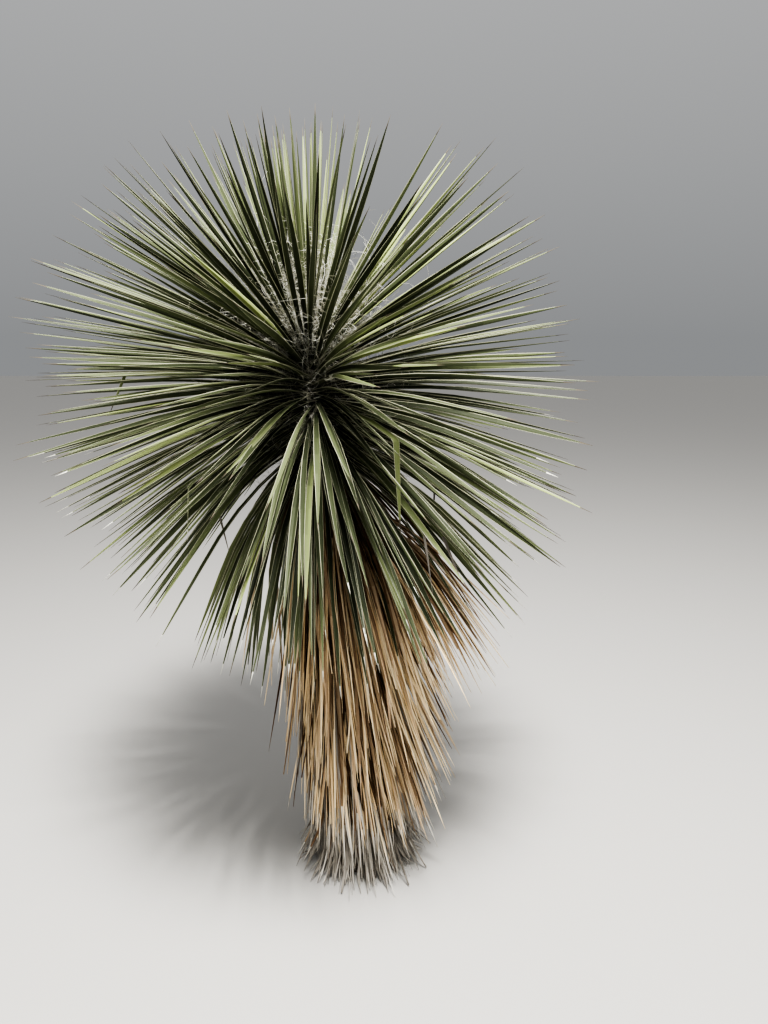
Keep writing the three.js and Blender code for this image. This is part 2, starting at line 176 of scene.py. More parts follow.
# Green blades: places along them as shares of the length, half widths as shares of the
# largest, thicknesses, the channel's depth as a share of the half width there, and the climb
# in tone from root to tip: painted shade near the root, painted light towards the tip
GREEN_SHARES = (0, 0.035, 0.09, 0.17, 0.28, 0.41, 0.54, 0.67, 0.79, 0.89, 0.955, 1)
GREEN_WIDTHS = [
    (0, 2.3), (0.035, 1.6), (0.09, 0.8), (0.17, 0.7), (0.28, 0.8), (0.41, 0.94), (0.54, 1.0),
    (0.67, 0.9), (0.79, 0.67), (0.89, 0.4), (0.955, 0.19), (1, 0.03),
]
GREEN_THICKNESSES = [(0, 1.8), (0.1, 1.5), (0.3, 1.0), (0.8, 0.55), (0.96, 0.3), (1, 0.1)]
GREEN_CHANNELS = [(0, 0.6), (0.15, 0.55), (0.5, 0.42), (0.96, 0.3), (1, 0.2)]
GREEN_PAINTED_SHADING = [(0, -2.8), (0.15, -2.5), (0.33, -1.4), (0.52, 0.1), (1, 0.9)]
GREEN_ROUNDING = 0.1

# Columns round a green blade: the thin pale margins, whose colour also paints a highlight,
# sharp edges, the underside, which gets painted shade, and the two halves of the upper side,
# one with painted light and the other with painted shade
MARGIN_SHARE = 0.9
MARGIN_COLUMNS = (0, 5, 6, 11)
SHARP_COLUMNS = (0, 3, 6, 9)
UNDERSIDE_COLUMNS = np.arange(12) > 6
UNDERSIDE_PAINTED_SHADE = 1.2
PAINTED_LIGHT_HALVES = np.array([0, 1, 1, -1, -1, 0, 0, 0, 0, 0, 0, 0])
HALVES_PAINTED_APART = 0.7

# Tones of green, the slots after them, and the place on a leaf where its dry tip begins
GREEN_TONES = 14
MARGIN_HIGHLIGHT_SLOT = GREEN_TONES
PALE_TIP_SLOT = GREEN_TONES + 1
BROWN_TIP_SLOT = GREEN_TONES + 2
FIRST_DEAD_SLOT = GREEN_TONES + 3
TIP_FROM = 0.955

# The rising leaves in front stand in shade and leave gaps between them
SHADED_AGES = (0.04, 0.3)
SHADED_SIDE = 60
SHADED_DARKER = 3.1
SHADED_DROPPED = 0.22

# The drooping leaves in front face the light, so their tone carries painted shade, deepest
# inwards, and a wider spread that paints some of them lit and some shaded
FACING_SIDE = 10
FACING_NARROWED = 4
FACING_AGES = (0.45, 0.6)
FACING_PAINTED_SHADE = 2.3
FACING_PAINTED_CONTRAST = 1.3
PAINTED_SHADE_REACH = 1.8

# The young leaves at the rear are longer, and paler by painted light
REAR = 125
REAR_AGES = (0.3, 0.45)
REAR_PAINTED_LIGHT = 4.6
REAR_SPREAD = 0.7
REAR_LONGER = 0.07

# At the left, the level leaves are shorter and carry painted shade, the drooping ones longer and
# carry painted light
LEFT_SIDE = 270
LEFT_LONGER = {
    "crown_upper": -0.07, "crown_middle": -0.05, "crown_lower": 0.04, "crown_hanging": 0.03,
}
HANGING_LEFT = 0.07
LEFT_PAINTED_LIGHT_AND_SHADE = [(0.4, -0.8), (0.6, 0.6)]

# At the right, leaves are fewer and broader, and the level ones carry painted shade
SPARSE_SIDE = 85
SPARSE_DROPPED = 0.42
SPARSE_BROADER = 0.22
LEVEL_PAINTED_SHADE = [(0.2, 0), (0.3, 2.1), (0.45, 2.1), (0.65, 0)]

# Level leaves part on both sides of this azimuth, so that the heart of the crown shows
PARTING = 5
PARTING_AGES = (0.25, 0.54)
PARTING_SIDE = 8
PARTING_TURN = 9

# The gaps among the drooping leaves at the lower left and right: their ends in degrees below
# the level to the left, seen from the camera round the heart of the crown, and the share of
# leaves missing there
GAPS = [(53, 63, 0.8), (116, 130, 0.45)]
HEART_HEIGHT = 1.39

# Folded leaves: [age, azimuth, share of the length at the fold, length and rise of the end,
# whether the end is dry], places before and after the fold, and [mean, spread] of tones
FOLDED_LEAVES = [
    (0.56, 27, 0.6, 0.24, -100, False), (0.74, 33, 0.68, 0.15, -88, True),
    (0.82, 52, 0.6, 0.13, -70, True), (0.5, 150, 0.55, 0.2, -100, False),
    (0.66, 205, 0.5, 0.22, -80, False), (0.8, 250, 0.6, 0.16, -95, True),
    (0.44, 285, 0.62, 0.12, -60, False), (0.74, 120, 0.52, 0.2, -100, True),
    (0.62, 330, 0.72, 0.12, -75, False), (0.83, 175, 0.5, 0.2, -92, True),
]
FOLDED_SHARES = (
    -1, -0.92, -0.84, -0.7, -0.5, -0.3, -0.12, -0.03, 0, 0.03, 0.12, 0.3, 0.55, 0.8, 1,
)
FOLDED_ROUNDING = 0.012
FOLDED_TONES = (9.5, 1.0)
FOLDED_PALE_TIPS = 0.3
FOLDED_TURN = 25
FOLDED_TURN_SPREAD = 15
DRY_END_TONES = 2

# One leaf turns over near the heart of the crown: its age and azimuth, and how far and
# between which shares of its length it turns; that turned part is painted pale as a patch
# of painted light
TWISTED_LEAF = (0.44, 15)
TWISTED_STEPS = 40
TWISTED_ROUNDING = 0.05
TWISTED_TONE = 10.0
TWIST = 205
TWIST_ENDS = (0.26, 0.4)

# Dry leaves among the oldest green ones, most of them on the right of the front, and a fan of
# more of them there: ends of ages and lengths, [mean, spread] of tilts and tones
DRYING_AGES = (0.86, 1.0)
DRYING_SIDE = 35
DRYING_EVENLY = 0.35
DRYING_SIDEWAYS = 0.5
DRY_TILT = -8
FAN_LEAVES = 130
FAN_AGES = (0.92, 1.0)
FAN_SIDE = 65
FAN_SPREAD = 32
FAN_LOWER = 0.09
FAN_TILTS = (1, 4)
FAN_LENGTHS = (0.8, 1.04)
FAN_TONES = (4.9, 2.2)
DRY_TONES = (4.0, 1.8)

# Dead blades
DEAD_SHARES = (0, 0.04, 0.1, 0.18, 0.28, 0.39, 0.5, 0.61, 0.72, 0.83, 0.92, 1)
DEAD_WIDTHS = [
    (0, 2.2), (0.04, 1.6), (0.1, 0.9), (0.3, 0.85), (0.5, 1.0), (0.72, 0.8), (0.9, 0.4),
    (1, 0.06),
]
BROKEN_WIDTHS = [(0, 2.2), (0.04, 1.6), (0.1, 0.9), (0.3, 0.85), (0.6, 0.9), (1, 0.5)]
# The climb in tone from root to tip: painted shade near the root, paler towards the tip
DEAD_PAINTED_SHADE_CLIMB = [(0, -2.5), (0.2, -1.2), (0.5, 0.0), (0.8, 0.3), (1, 1.2)]
DEAD_ROUNDING = 0.05

# How dead blades vary: how far their tips swing aside, waves, turns, split and broken ones,
# widths, and how far they are folded along their middle
CROSSING_SHARE = 0.18
CROSSING_SWING = 0.12
PLAIN_SWING = 0.035
LARGEST_SWING = 0.13
WAVE_SPREAD = 0.006
WAVE_TURNS = (3, 8)
DEAD_ROOT_TURN_SPREAD = 40
DEAD_TIP_TURN_SPREAD = 70
SPLIT_SHARE = 0.2
SPLIT_WIDTH = 0.35
BROKEN_SHARE = 0.08
DEAD_WIDTH_SPREAD = 0.2
DEAD_WIDTH_ENDS = (0.5, 1.5)
DEAD_FOLDS = (0.4, 1.3)
TIP_FOLD = 0.25
LARGEST_FOLD = 1.5

# The crown's shade on dead leaves, in tones by height, and [mean, spread] of the heights below
# which their ends have weathered to grey
CROWN_SHADE = [(0.6, 0.0), (0.8, 1.0), (1.0, 2.2)]
WEATHERED_BELOW = (0.15, 0.06)

# Tones of dead leaves: straw ones, then greys, with their [mean, spread] and how far they
# follow the straw tone of their leaf
STRAW_TONES = 8
GREY_TONES = 4
GREY_LEVEL = (0.9, 0.9)
GREY_CLIMB = 1.6

# The skirt: the heights of its leaves' roots, [mean, spread] and ends of their lengths, their
# tilts and tones, with painted shade on those tilted in and painted light on those tilted out,
# how they lean and grey at the left, and the share of grey ones by height
SKIRT_SPANS = {
    "skirt_upper": (SKIRT_TOP, SKIRT_MIDDLE), "skirt_lower": (SKIRT_MIDDLE, COLLAR_TOP),
}
DEAD_AZIMUTH_SPREAD = 6
SKIRT_LENGTHS = (0.96, 0.1)
SKIRT_LENGTH_ENDS = (0.55, 1.08)
SKIRT_TILT_SPREAD = 3.2
LEFT_TILT = -3.2
SKIRT_TONE = 4.5
TILT_PAINTED_SHADE = 0.4
SKIRT_TONE_SPREAD = 3.6
GREYING = [(0.3, 0.3), (0.7, 0.04)]
LEFT_GREYING = 0.3
LEFT_GREYING_BELOW = 0.85

# The collar: ends of its leaves' lengths, [mean, spread] of their tilts and tones, and the
# share of grey ones
COLLAR_LENGTHS = (0.3, 0.8)
COLLAR_TILTS = (1.0, 4)
COLLAR_TONES = (2.4, 1.8)
COLLAR_GREYING = 0.7

# Fibres: the share of them on each tier, by piece, the rings of a blade between which they
# start, counted from its root, and the share of grey ones
FIBRE_PIECES = {
    "fibres_inner": {"spear": 0.3},
    "fibres_upper": {"crown_upper": 0.38},
    "fibres_outer": {"crown_middle": 0.17, "crown_lower": 0.11, "crown_hanging": 0.04},
}
FIBRE_RINGS = {"spear": (1.8, 6), "crown_upper": (1.5, 5.5)}
OUTER_FIBRE_RINGS = (1, 4.8)
GREY_FIBRES = {"spear": 0.5, "crown_upper": 0.65}
OUTER_GREY_FIBRES = 0.8
FIBRE_STEPS = 8
FIBRE_SIDES = 3

# How threads vary: how evenly they start between the two rings, how they leave the margin,
# their lengths, the share and length of long ones, how far they curl and drift, and taper
FIBRE_PLACES = (1.3, 1.9)
FIBRE_ROOT = 0.97
FIBRE_FORWARD = 0.5
FIBRE_WOBBLE = 0.6
FIBRE_LENGTHS = (3, 0.013)
SHORTEST_FIBRE = 0.024
LONG_FIBRES = 0.5
LONG_FACTOR = 2.2
FIBRE_TURNS = (0.25, 1.1)
FIBRE_CURL = 1.3
FIBRE_DRIFT = 0.5
FIBRE_TAPER = 0.5

# The stem's mesh, the size of a leaf scar, how blunt its ridge is, and the share of the relief
# by which the stem is sunk, so that the scars' ridges come out at its surface
STEM_COLUMNS = 90
STEM_STEPS = 200
SCAR_WIDTH = 0.019
SCAR_HEIGHT = 0.011
SCAR_BLUNTNESS = 0.6
RELIEF_SUNK = 0.8

# Bark: its colours from the cracks to the worn ridges, the share of its coarse grain, how far
# the grain is drawn out upwards, and its roughness
BARK_STOPS = [
    (0.32, (0.035, 0.024, 0.016)), (0.5, (0.14, 0.1, 0.07)), (0.68, (0.26, 0.23, 0.2)),
]
BARK_COARSE = 0.65
BARK_GRAIN = (1.0, 1.0, 0.35)
BARK_ROUGHNESS = 0.75
BARK_ROUGHNESS_SPREAD = 0.2

# Surfaces: roughness, and the closeness and depth of fine ridges along a blade or thread
GREEN_SURFACE = (0.5, 10, 0.0002)
MARGIN_SURFACE = (0.6, 10, 0.0002)
TIP_SURFACE = (0.75, 10, 0.0002)
STRAW_SURFACE = (0.8, 14, 0.0005)
GREY_SURFACE = (0.9, 14, 0.0005)
FIBRE_SURFACE = (0.85, 2, 0.0001)
GLOSS_SPREAD = 0.24
DRY_SPECULAR = 0.2
FLOOR_ROUGHNESS = 0.9

# On the map of a blade, how often the ridges change along it, and the patches of uneven gloss
RIDGES_ALONG = 4.0
GLOSS_PATCHES = (4.0, 30.0, 1.0)
PATCH_RELIEF = 0.5

# Camera: where the photograph was taken from, its tilt and its focal length in pixels
CAMERA_SPOT = (0.066, -2.09, 1.55)
CAMERA_TILT = -12.8
FOCAL_PIXELS = 769
FRAME_PIXELS = 1024
SENSOR = 36

# Surrounding light: its tone at the horizon and overhead, by the sine of the height
SKY_TONES = [(0.0, (0.42, 0.43, 0.44)), (0.9, (1.0, 1.0, 1.0))]

# The soft light overhead: where it hangs, the side of its square, its colour and its aim
LIGHT_SPOT = (0.2, -1.9, 5.3)
LIGHT_SIDE = 1.0
LIGHT_COLOUR = (1.0, 0.98, 0.94)
LIGHT_TARGET = (0, 0, 1.2)


# Numbers

def sine(degrees):
    return math.sin(math.radians(degrees))


def cosine(degrees):
    return math.cos(math.radians(degrees))


def mix(first, second, share):
    return first + (second - first) * share


def share_of(value, ends):
    """How far a value has come from the first of two others to the second, from 0 to 1."""
    first, second = ends
    return min(1.0, max(0.0, (value - first) / (second - first)))


def within(values, ends):
    return (values > ends[0]) & (values < ends[1])


def smooth_share(value, ends):
    share = share_of(value, ends)
    return share * share * (3 - 2 * share)


def read_profile(profile, place):
    """A value read off a list of pairs (place, value)."""
    return np.interp(place, *zip(*profile))


def trunk_radius(height):
    return read_profile(TRUNK_PROFILE, height)


# Where the stem's middle is at a height, on the skirt's line and on the crown's

def lower_axis(height):
    return -LOWER_LEAN * height


def crown_axis(height):
    return lower_axis(BEND_HEIGHT) - CROWN_LEAN * (height - BEND_HEIGHT)


def stem_axis(height):
    return np.where(height < BEND_HEIGHT, lower_axis(height), crown_axis(height))


# How the leaves stand: paths in the half-plane of the stem, as lists of (out, height)

def stretch(start, rise, length):
    return start[0] + length * cosine(rise), start[1] + length * sine(rise)


def distances_along(path):
    """How far each corner of a path is from its start."""
    return np.concatenate([[0], np.cumsum(np.hypot(*np.diff(path, axis=0).T))])


def green_path(age, azimuth, tilt, length_factor):
    """A green leaf's path: a short stretch from its root, then two longer ones that bend."""
    rise_sine = mix(YOUNGEST_RISE_SINE, OLDEST_RISE_SINE, age ** RISE_SPREAD)
    rise = math.degrees(math.asin(rise_sine))
    height = mix(YOUNGEST_ROOT, OLDEST_ROOT, age ** ROOT_SPREAD)
    droop = LARGEST_DROOP * share_of(rise, BENT_RISES) ** DROOP_SPREAD
    young = share_of(rise, YOUNG_RISES) ** 2
    old = share_of(rise, OLD_RISES) ** OLD_SPREAD
    whole = GREEN_LENGTH - YOUNG_SHORTENING * young - OLD_SHORTENING * old
    length = whole * length_factor
    flaring = smooth_share(age, (FLARING_AGE, 1))
    flare = 1 + GREEN_SIDE_FLARE * max(0.0, sine(azimuth)) * flaring
    blade = -90 + (90 + rise) * flare + tilt
    root = (trunk_radius(height) - ROOT_SINK, height)
    knee = stretch(root, rise + FIRST_LIFT * droop + tilt / 2, GREEN_KNEE + ROOT_SINK)
    middle = stretch(knee, blade + MIDDLE_LIFT * droop, MIDDLE_SHARE * length)
    rest = (1 - MIDDLE_SHARE) * length - GREEN_KNEE
    return [root, knee, middle, stretch(middle, blade + OUTER_LIFT * droop, rest)]


def spear_path(share, tilt, length_factor):
    """The path of one of the youngest leaves, which are straight and nearly upright."""
    root = (mix(*SPEAR_ROOT_OUT, math.sqrt(share)), TRUNK_TIP - ROOT_SINK)
    rise = mix(*SPEAR_RISE, share) + tilt
    length = mix(*SPEAR_LENGTH, share) * length_factor
    knee = stretch(root, rise, SPEAR_KNEE)
    return [root, knee, stretch(knee, rise, length - SPEAR_KNEE)]


def dead_path(height, azimuth, tilt, length, lowest=LOWEST_TIP):
    """A dead leaf's path: out over a knee and down, no lower than its lowest tip."""
    sideways = EVEN_FLARE + SIDE_FLARE * sine(azimuth)
    flare = mix(1, sideways, smooth_share(height, FLARE_HEIGHTS))
    hang = read_profile(HANG_ANGLE, height) * flare + tilt
    root = (trunk_radius(height) - ROOT_SINK, height)
    knee_height = height - DEAD_KNEE_DOWN
    knee = (trunk_radius(knee_height) + DEAD_KNEE_OUT, knee_height)
    room = (knee_height - lowest) / cosine(hang)
    return [root, knee, stretch(knee, hang - 90, min(length, room))]


def folded_path(age, azimuth, fold, length, rise):
    """A green leaf's path whose end hangs from a fold."""
    path = np.array(green_path(age, azimuth, 0, 1))
    reached = distances_along(path)
    cut = fold * reached[-1]
    corner = tuple(np.interp(cut, reached, part) for part in path.T)
    kept = [tuple(spot) for spot in path[reached < cut]]
    return [*kept, corner, stretch(corner, rise, length)]


def collar_path(height, azimuth, tilt, length):
    """A dead leaf's path round the foot: it flares outwards as it nears the ground."""
    root, knee, foot = dead_path(height, azimuth, tilt, length)
    bend = (mix(knee[0], foot[0], FLARE_FROM), mix(knee[1], foot[1], FLARE_FROM))
    flare = FLARE_REACH * (1 - foot[1] / COLLAR_TOP) * (1 + FLARE_BY_TILT * tilt)
    return [root, knee, bend, (foot[0] + max(0, flare), foot[1])]


# Shader trees

class Signal:
    """The value of a socket. Arithmetic on it adds Math nodes to its tree."""

    def __init__(self, tree, socket):
        self.tree = tree
        self.socket = socket

    def combined(self, operation, first, second):
        return self.tree.node("ShaderNodeMath", {"operation": operation}, {0: first, 1: second})

    def __add__(self, other):
        return self.combined("ADD", self, other)

    __radd__ = __add__

    def __mul__(self, other):
        return self.combined("MULTIPLY", self, other)

    __rmul__ = __mul__


class NodeTree:
    """The tree of a material or of the sky, which gets all its nodes in one way."""

    def __init__(self, tree):
        self.tree = tree
        self.tree.nodes.clear()

    def node(self, kind, settings=None, sockets=None, output=0):
        """Adds a node: its settings come first, then the values or links of its sockets."""
        made = self.tree.nodes.new(kind)
        for name, value in (settings or {}).items():
            if name == "stops":
                while len(made.color_ramp.elements) < len(value):
                    made.color_ramp.elements.new(1.0)
                for element, (position, colour) in zip(made.color_ramp.elements, value):
                    element.position = position
                    element.color = (*colour, 1.0)
            else:
                setattr(made, name, value)
        for name, value in (sockets or {}).items():
            if isinstance(value, Signal):
                self.tree.links.new(value.socket, made.inputs[name])
            else:
                made.inputs[name].default_value = value
        return Signal(self, made.outputs[output]) if made.outputs else None


class Finish(NodeTree):
    """A material and the node tree that makes it."""

    def __init__(self, name):
        self.material = bpy.data.materials.new(name)
        self.material.use_nodes = True
        super().__init__(self.material.node_tree)

    def surface(self, settings, **links):
        """The shader and the output: plain settings, and links by socket name."""
        sockets = {name.replace("_", " "): value for name, value in links.items()}
        shader = self.node("ShaderNodeBsdfPrincipled", None, {**settings, **sockets})
        self.node("ShaderNodeOutputMaterial", None, {"Surface": shader})
        return self.material


def blade_finish(name, colour, roughness, ridges, depth):
    """A leaf's surface: one plain colour, fine ridges along the blade and uneven gloss."""
    if name in bpy.data.materials:
        return bpy.data.materials[name]
    finish = Finish(name)
    coordinates = finish.node("ShaderNodeUVMap", {"uv_map": "OFBake"})
    ridge, patches = (
        finish.node(
            "ShaderNodeTexNoise", None,
            {
                "Vector": finish.node(
                    "ShaderNodeMapping", None, {"Vector": coordinates, "Scale": scale}),
                "Scale": 1.0,
                "Detail": 3.0,
            },
        )
        for scale in ((ridges, RIDGES_ALONG, 1.0), GLOSS_PATCHES)
    )
    gloss = patches * GLOSS_SPREAD + (roughness - GLOSS_SPREAD / 2)
    bump = finish.node(
        "ShaderNodeBump", None,
        {"Strength": 0.5, "Distance": depth, "Height": ridge + patches * PATCH_RELIEF},
    )
    settings = {"Base Color": (*colour, 1.0), "Specular IOR Level": DRY_SPECULAR}
    return finish.surface(settings, Roughness=gloss, Normal=bump)


def bark_finish(name):
    """The stem: brown in its cracks, paler and greyer on its worn ridges."""
    finish = Finish(name)
    spots = finish.node("ShaderNodeTexCoord", output="Object")
    stretched = finish.node(
        "ShaderNodeMapping", None, {"Vector": spots, "Scale": BARK_GRAIN}
    )
    coarse = finish.node(
        "ShaderNodeTexNoise", None, {"Vector": stretched, "Scale": 26.0, "Detail": 6.0}
    )
    fine = finish.node(
        "ShaderNodeTexNoise", None, {"Vector": stretched, "Scale": 190.0, "Detail": 4.0}
    )
    worn = coarse * BARK_COARSE + fine * (1 - BARK_COARSE)
    colour = finish.node("ShaderNodeValToRGB", {"stops": BARK_STOPS}, {0: worn})
    bump = finish.node(
        "ShaderNodeBump", None, {"Strength": 0.7, "Distance": 0.003, "Height": worn}
    )
    roughness = fine * BARK_ROUGHNESS_SPREAD + BARK_ROUGHNESS
    settings = {"Specular IOR Level": DRY_SPECULAR}
    return finish.surface(settings, Base_Color=colour, Roughness=roughness, Normal=bump)


def plain_finish(name, colour, roughness):
    return Finish(name).surface({"Base Color": (*colour, 1.0), "Roughness": roughness})


# Joined meshes

def rounded_spots(path, shares, rounding):
    """Places along a path of straight stretches, with its corners rounded off."""
    path = np.array(path)
    reached = distances_along(path)
    whole = reached[-1]
    at = np.array(shares) * whole
    room = np.minimum(rounding, np.minimum(at, whole - at))
    around = at[:, None] + room[:, None] * np.linspace(-1, 1, 9)
    return np.stack([np.interp(around, reached, part).mean(1) for part in path.T], 1)


def frames_along(spots, side, twist):
    """The vectors along, across and up at each spot of each blade, after its twist."""
    along = np.gradient(spots, axis=1)
    along /= np.linalg.norm(along, axis=2, keepdims=True)
    across = side[:, None] - along * (side[:, None] * along).sum(2, keepdims=True)
    across /= np.linalg.norm(across, axis=2, keepdims=True)
    up = np.cross(along, across)
    turned = np.cos(twist)[..., None], np.sin(twist)[..., None]
    return along, across * turned[0] + up * turned[1], up * turned[0] - across * turned[1]


class JoinedMesh:
    """Closed tubes, such as blades and threads, gathered in arrays and joined in one mesh."""

    def __init__(self):
        self.spots = []
        self.corners = []
        self.sizes = []
        self.slots = []
        self.maps = []
        self.sharp = []
        self.count = 0

    def add(self, rings, slots, sharp_columns=()):
        """Adds rings of spots (tube, ring, column, xyz), with a material slot for each face.

        On the map, u runs round a tube and v along it, and its end caps are small discs.
        """
        tubes, steps, columns, _ = rings.shape
        index = np.arange(tubes * steps * columns).reshape(tubes, steps, columns) + self.count
        after = np.roll(index, -1, axis=2)
        quads = np.stack([index[:, :-1], after[:, :-1], after[:, 1:], index[:, 1:]], -1)
        caps = np.stack([index[:, 0, ::-1], index[:, -1]], 1)
        u = np.arange(columns) / columns
        v = np.linspace(0.02, 0.98, steps)
        low, high = np.meshgrid(v[:-1], u, indexing="ij"), np.meshgrid(v[1:], u, indexing="ij")
        quad_map = np.stack([
            np.stack([low[1], low[0]], -1), np.stack([low[1] + 1 / columns, low[0]], -1),
            np.stack([high[1] + 1 / columns, high[0]], -1), np.stack([high[1], high[0]], -1),
        ], 2)
        turn = 2 * np.pi * u
        disc = np.stack([0.5 + 0.01 * np.cos(turn), 0.01 + 0.008 * np.sin(turn)], -1)
        self.spots.append(rings.reshape(-1, 3))
        self.corners += [quads.ravel(), caps.ravel()]
        self.sizes += [np.full(quads.size // 4, 4), np.full(tubes * 2, columns)]
        self.slots += [slots.ravel(), np.stack([slots[:, 0, 0], slots[:, -1, 0]], 1).ravel()]
        self.maps += [
            np.broadcast_to(quad_map, (tubes, *quad_map.shape)).reshape(-1, 2),
            np.broadcast_to(disc, (tubes * 2, columns, 2)).reshape(-1, 2),
        ]
        for column in sharp_columns:
            edge = index[:, :, column]
            self.sharp.append(np.stack([edge[:, :-1].ravel(), edge[:, 1:].ravel()], 1))
        self.count += tubes * steps * columns

    def build(self, name, materials, replaced):
        """Makes the object, which rides on the plant in place of the replaced nodes."""
        mesh = bpy.data.meshes.new(name)
        spots = np.concatenate(self.spots).astype(np.float32)
        spots[:, 2] = spots[:, 2].clip(0)
        corners = np.concatenate(self.corners)
        sizes = np.concatenate(self.sizes)
        mesh.vertices.add(len(spots))
        mesh.vertices.foreach_set("co", spots.ravel())
        mesh.loops.add(len(corners))
        mesh.loops.foreach_set("vertex_index", corners)
        mesh.polygons.add(len(sizes))
        mesh.polygons.foreach_set("loop_start", np.concatenate([[0], np.cumsum(sizes)[:-1]]))
        mesh.polygons.foreach_set("material_index", np.concatenate(self.slots))
        mesh.update(calc_edges=True)
        mesh.shade_smooth()
        mesh.uv_layers.new(name="OFBake")
        mesh.uv_layers["OFBake"].uv.foreach_set(
            "vector", np.concatenate(self.maps).astype(np.float32).ravel()
        )
        if self.sharp:
            self.mark_sharp(mesh)
        for material in materials:
            mesh.materials.append(material)
        piece = bpy.data.objects.new(name, mesh)
        bpy.context.scene.collection.objects.link(piece)
        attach(piece, BODY)
        if replaced:
            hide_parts(*replaced)
        return piece

    def mark_sharp(self, mesh):
        ends = np.zeros(len(mesh.edges) * 2, dtype=np.int64)
        mesh.edges.foreach_get("vertices", ends)
        ends = np.sort(ends.reshape(-1, 2), axis=1)
        wanted = np.sort(np.concatenate(self.sharp), axis=1)
        keys = ends[:, 0] * self.count + ends[:, 1]
        sharp = np.isin(keys, wanted[:, 0] * self.count + wanted[:, 1])
        mesh.attributes.new("sharp_edge", "BOOLEAN", "EDGE").data.foreach_set("value", sharp)


class Blades:
    """Blades on their paths: spots and the vectors along, across and up, at each share."""

    def __init__(self, paths, azimuths, axis, shares, rounding, bends, turns):
        shares = np.broadcast_to(shares, (len(paths), np.shape(shares)[-1]))
        flat = np.array([rounded_spots(*pair, rounding) for pair in zip(paths, shares)])
        turn = np.radians(azimuths)[:, None]
        out, height = flat[..., 0], flat[..., 1]
        x = out * np.sin(turn) + axis(height) + bends * np.cos(turn)
        y = -out * np.cos(turn) + bends * np.sin(turn)
        side = np.stack([np.cos(turn[:, 0]), np.sin(turn[:, 0]), np.zeros(len(turn))], 1)
        self.shares = shares
        self.middles = (shares[:, 1:] + shares[:, :-1]) / 2
        self.spots = np.stack([x, y, height], -1)
        self.along, self.across, self.up = frames_along(self.spots, side, np.radians(turns))

    def __len__(self):
        return len(self.spots)

    def rings(self, across, up):
        """Rings of spots for sections (blade, place, column) across and up."""
        return (self.spots[:, :, None] + self.across[:, :, None] * across[..., None]
                + self.up[:, :, None] * up[..., None])


def green_section(widths, thicknesses, channels):
    """The outline across a green blade: channelled above, keeled below, with thin margins."""
    deep = widths * channels
    shape = [
        (-1, 0, 0), (-MARGIN_SHARE, -0.17, 0), (-0.45, -0.6, 0), (0, -1, 0), (0.45, -0.6, 0),
        (MARGIN_SHARE, -0.17, 0), (1, 0, 0), (MARGIN_SHARE, -0.21, -0.3), (0.5, -0.57, -0.8),
        (0, -1, -1), (-0.5, -0.57, -0.8), (-MARGIN_SHARE, -0.21, -0.3),
    ]
    across = np.stack([widths * a for a, _, _ in shape], -1)
    up = np.stack([deep * b + thicknesses * c for _, b, c in shape], -1)
    return across, up


def dead_section(widths, thickness, folds):
    """The outline across a dead blade: a thin sheet, folded along its middle."""
    shape = [(-1, 1, 0), (0, -0.4, 0), (1, 1, 0), (0.95, 1, -1), (0, -0.4, -1), (-0.95, 1, -1)]
    narrowed = widths / np.sqrt(1 + folds ** 2)
    across = np.stack([narrowed * a for a, _, _ in shape], -1)
    up = np.stack([narrowed * folds * b + thickness * c for _, b, c in shape], -1)
    return across, up


def tone_list(prefix, colours, count, surface):
    """Finishes in even steps along a list of colours, from dark to pale."""
    finishes = []
    for number, place in enumerate(np.linspace(0, len(colours) - 1, count), 1):
        parts = [np.interp(place, range(len(colours)), np.log(part)) for part in zip(*colours)]
        finishes.append(blade_finish(f"{prefix}_{number}", np.exp(parts), *surface))
    return finishes


# Sizes and colours that a user would change

COLOUR = {"subtype": "COLOR", "size": 3, "min": 0, "max": 1}


class YuccaCrown(bpy.types.PropertyGroup):
    leaf_density: IntProperty(
        name="Leaf density", description="Green leaves for each unit of age", default=1060, min=50)
    spear_leaves: IntProperty(
        name="Spear leaves", description="Youngest leaves over the trunk's tip", default=50, min=4)
    half_width: FloatProperty(
        name="Half width", description="Half of a green leaf's largest width",
        default=0.0073, min=0.001, unit="LENGTH")
    thickness: FloatProperty(
        name="Thickness", description="Thickness of a green leaf near its middle",
        default=0.0024, min=0.0005, unit="LENGTH")
    shade_colour: FloatVectorProperty(
        name="Dark green", description="Darkest leaf tone",
        default=(0.02, 0.025, 0.012), **COLOUR)
    middle_colour: FloatVectorProperty(
        name="Leaf green", description="Middle leaf tone",
        default=(0.086, 0.102, 0.053), **COLOUR)
    lit_colour: FloatVectorProperty(
        name="Pale green", description="Palest leaf tone", default=(0.3, 0.355, 0.135), **COLOUR)
    # The margins' colour is their own pale edge and also a painted highlight along it
    margin_highlight_colour: FloatVectorProperty(
        name="Margin", description="Thin pale edges of the leaves",
        default=(0.5, 0.5, 0.37), **COLOUR)
    pale_tip_colour: FloatVectorProperty(
        name="Pale tip", description="Bleached spine at a leaf's tip",
        default=(0.7, 0.69, 0.61), **COLOUR)
    brown_tip_colour: FloatVectorProperty(
        name="Brown tip", description="Dark spine at a leaf's tip",
        default=(0.11, 0.095, 0.07), **COLOUR)


class YuccaFibres(bpy.types.PropertyGroup):
    count: IntProperty(name="Fibres", description="Curly threads in all", default=8200, min=0)
    radius: FloatProperty(
        name="Radius", description="Radius of a thread at its root",
        default=0.00046, min=0.0001, unit="LENGTH")
    colour: FloatVectorProperty(
        name="Fibre colour", description="Curly threads from the margins",
        default=(0.74, 0.73, 0.67), **COLOUR)
    grey_colour: FloatVectorProperty(
        name="Grey fibre colour", description="Curly threads lower down",
        default=(0.3, 0.29, 0.23), **COLOUR)


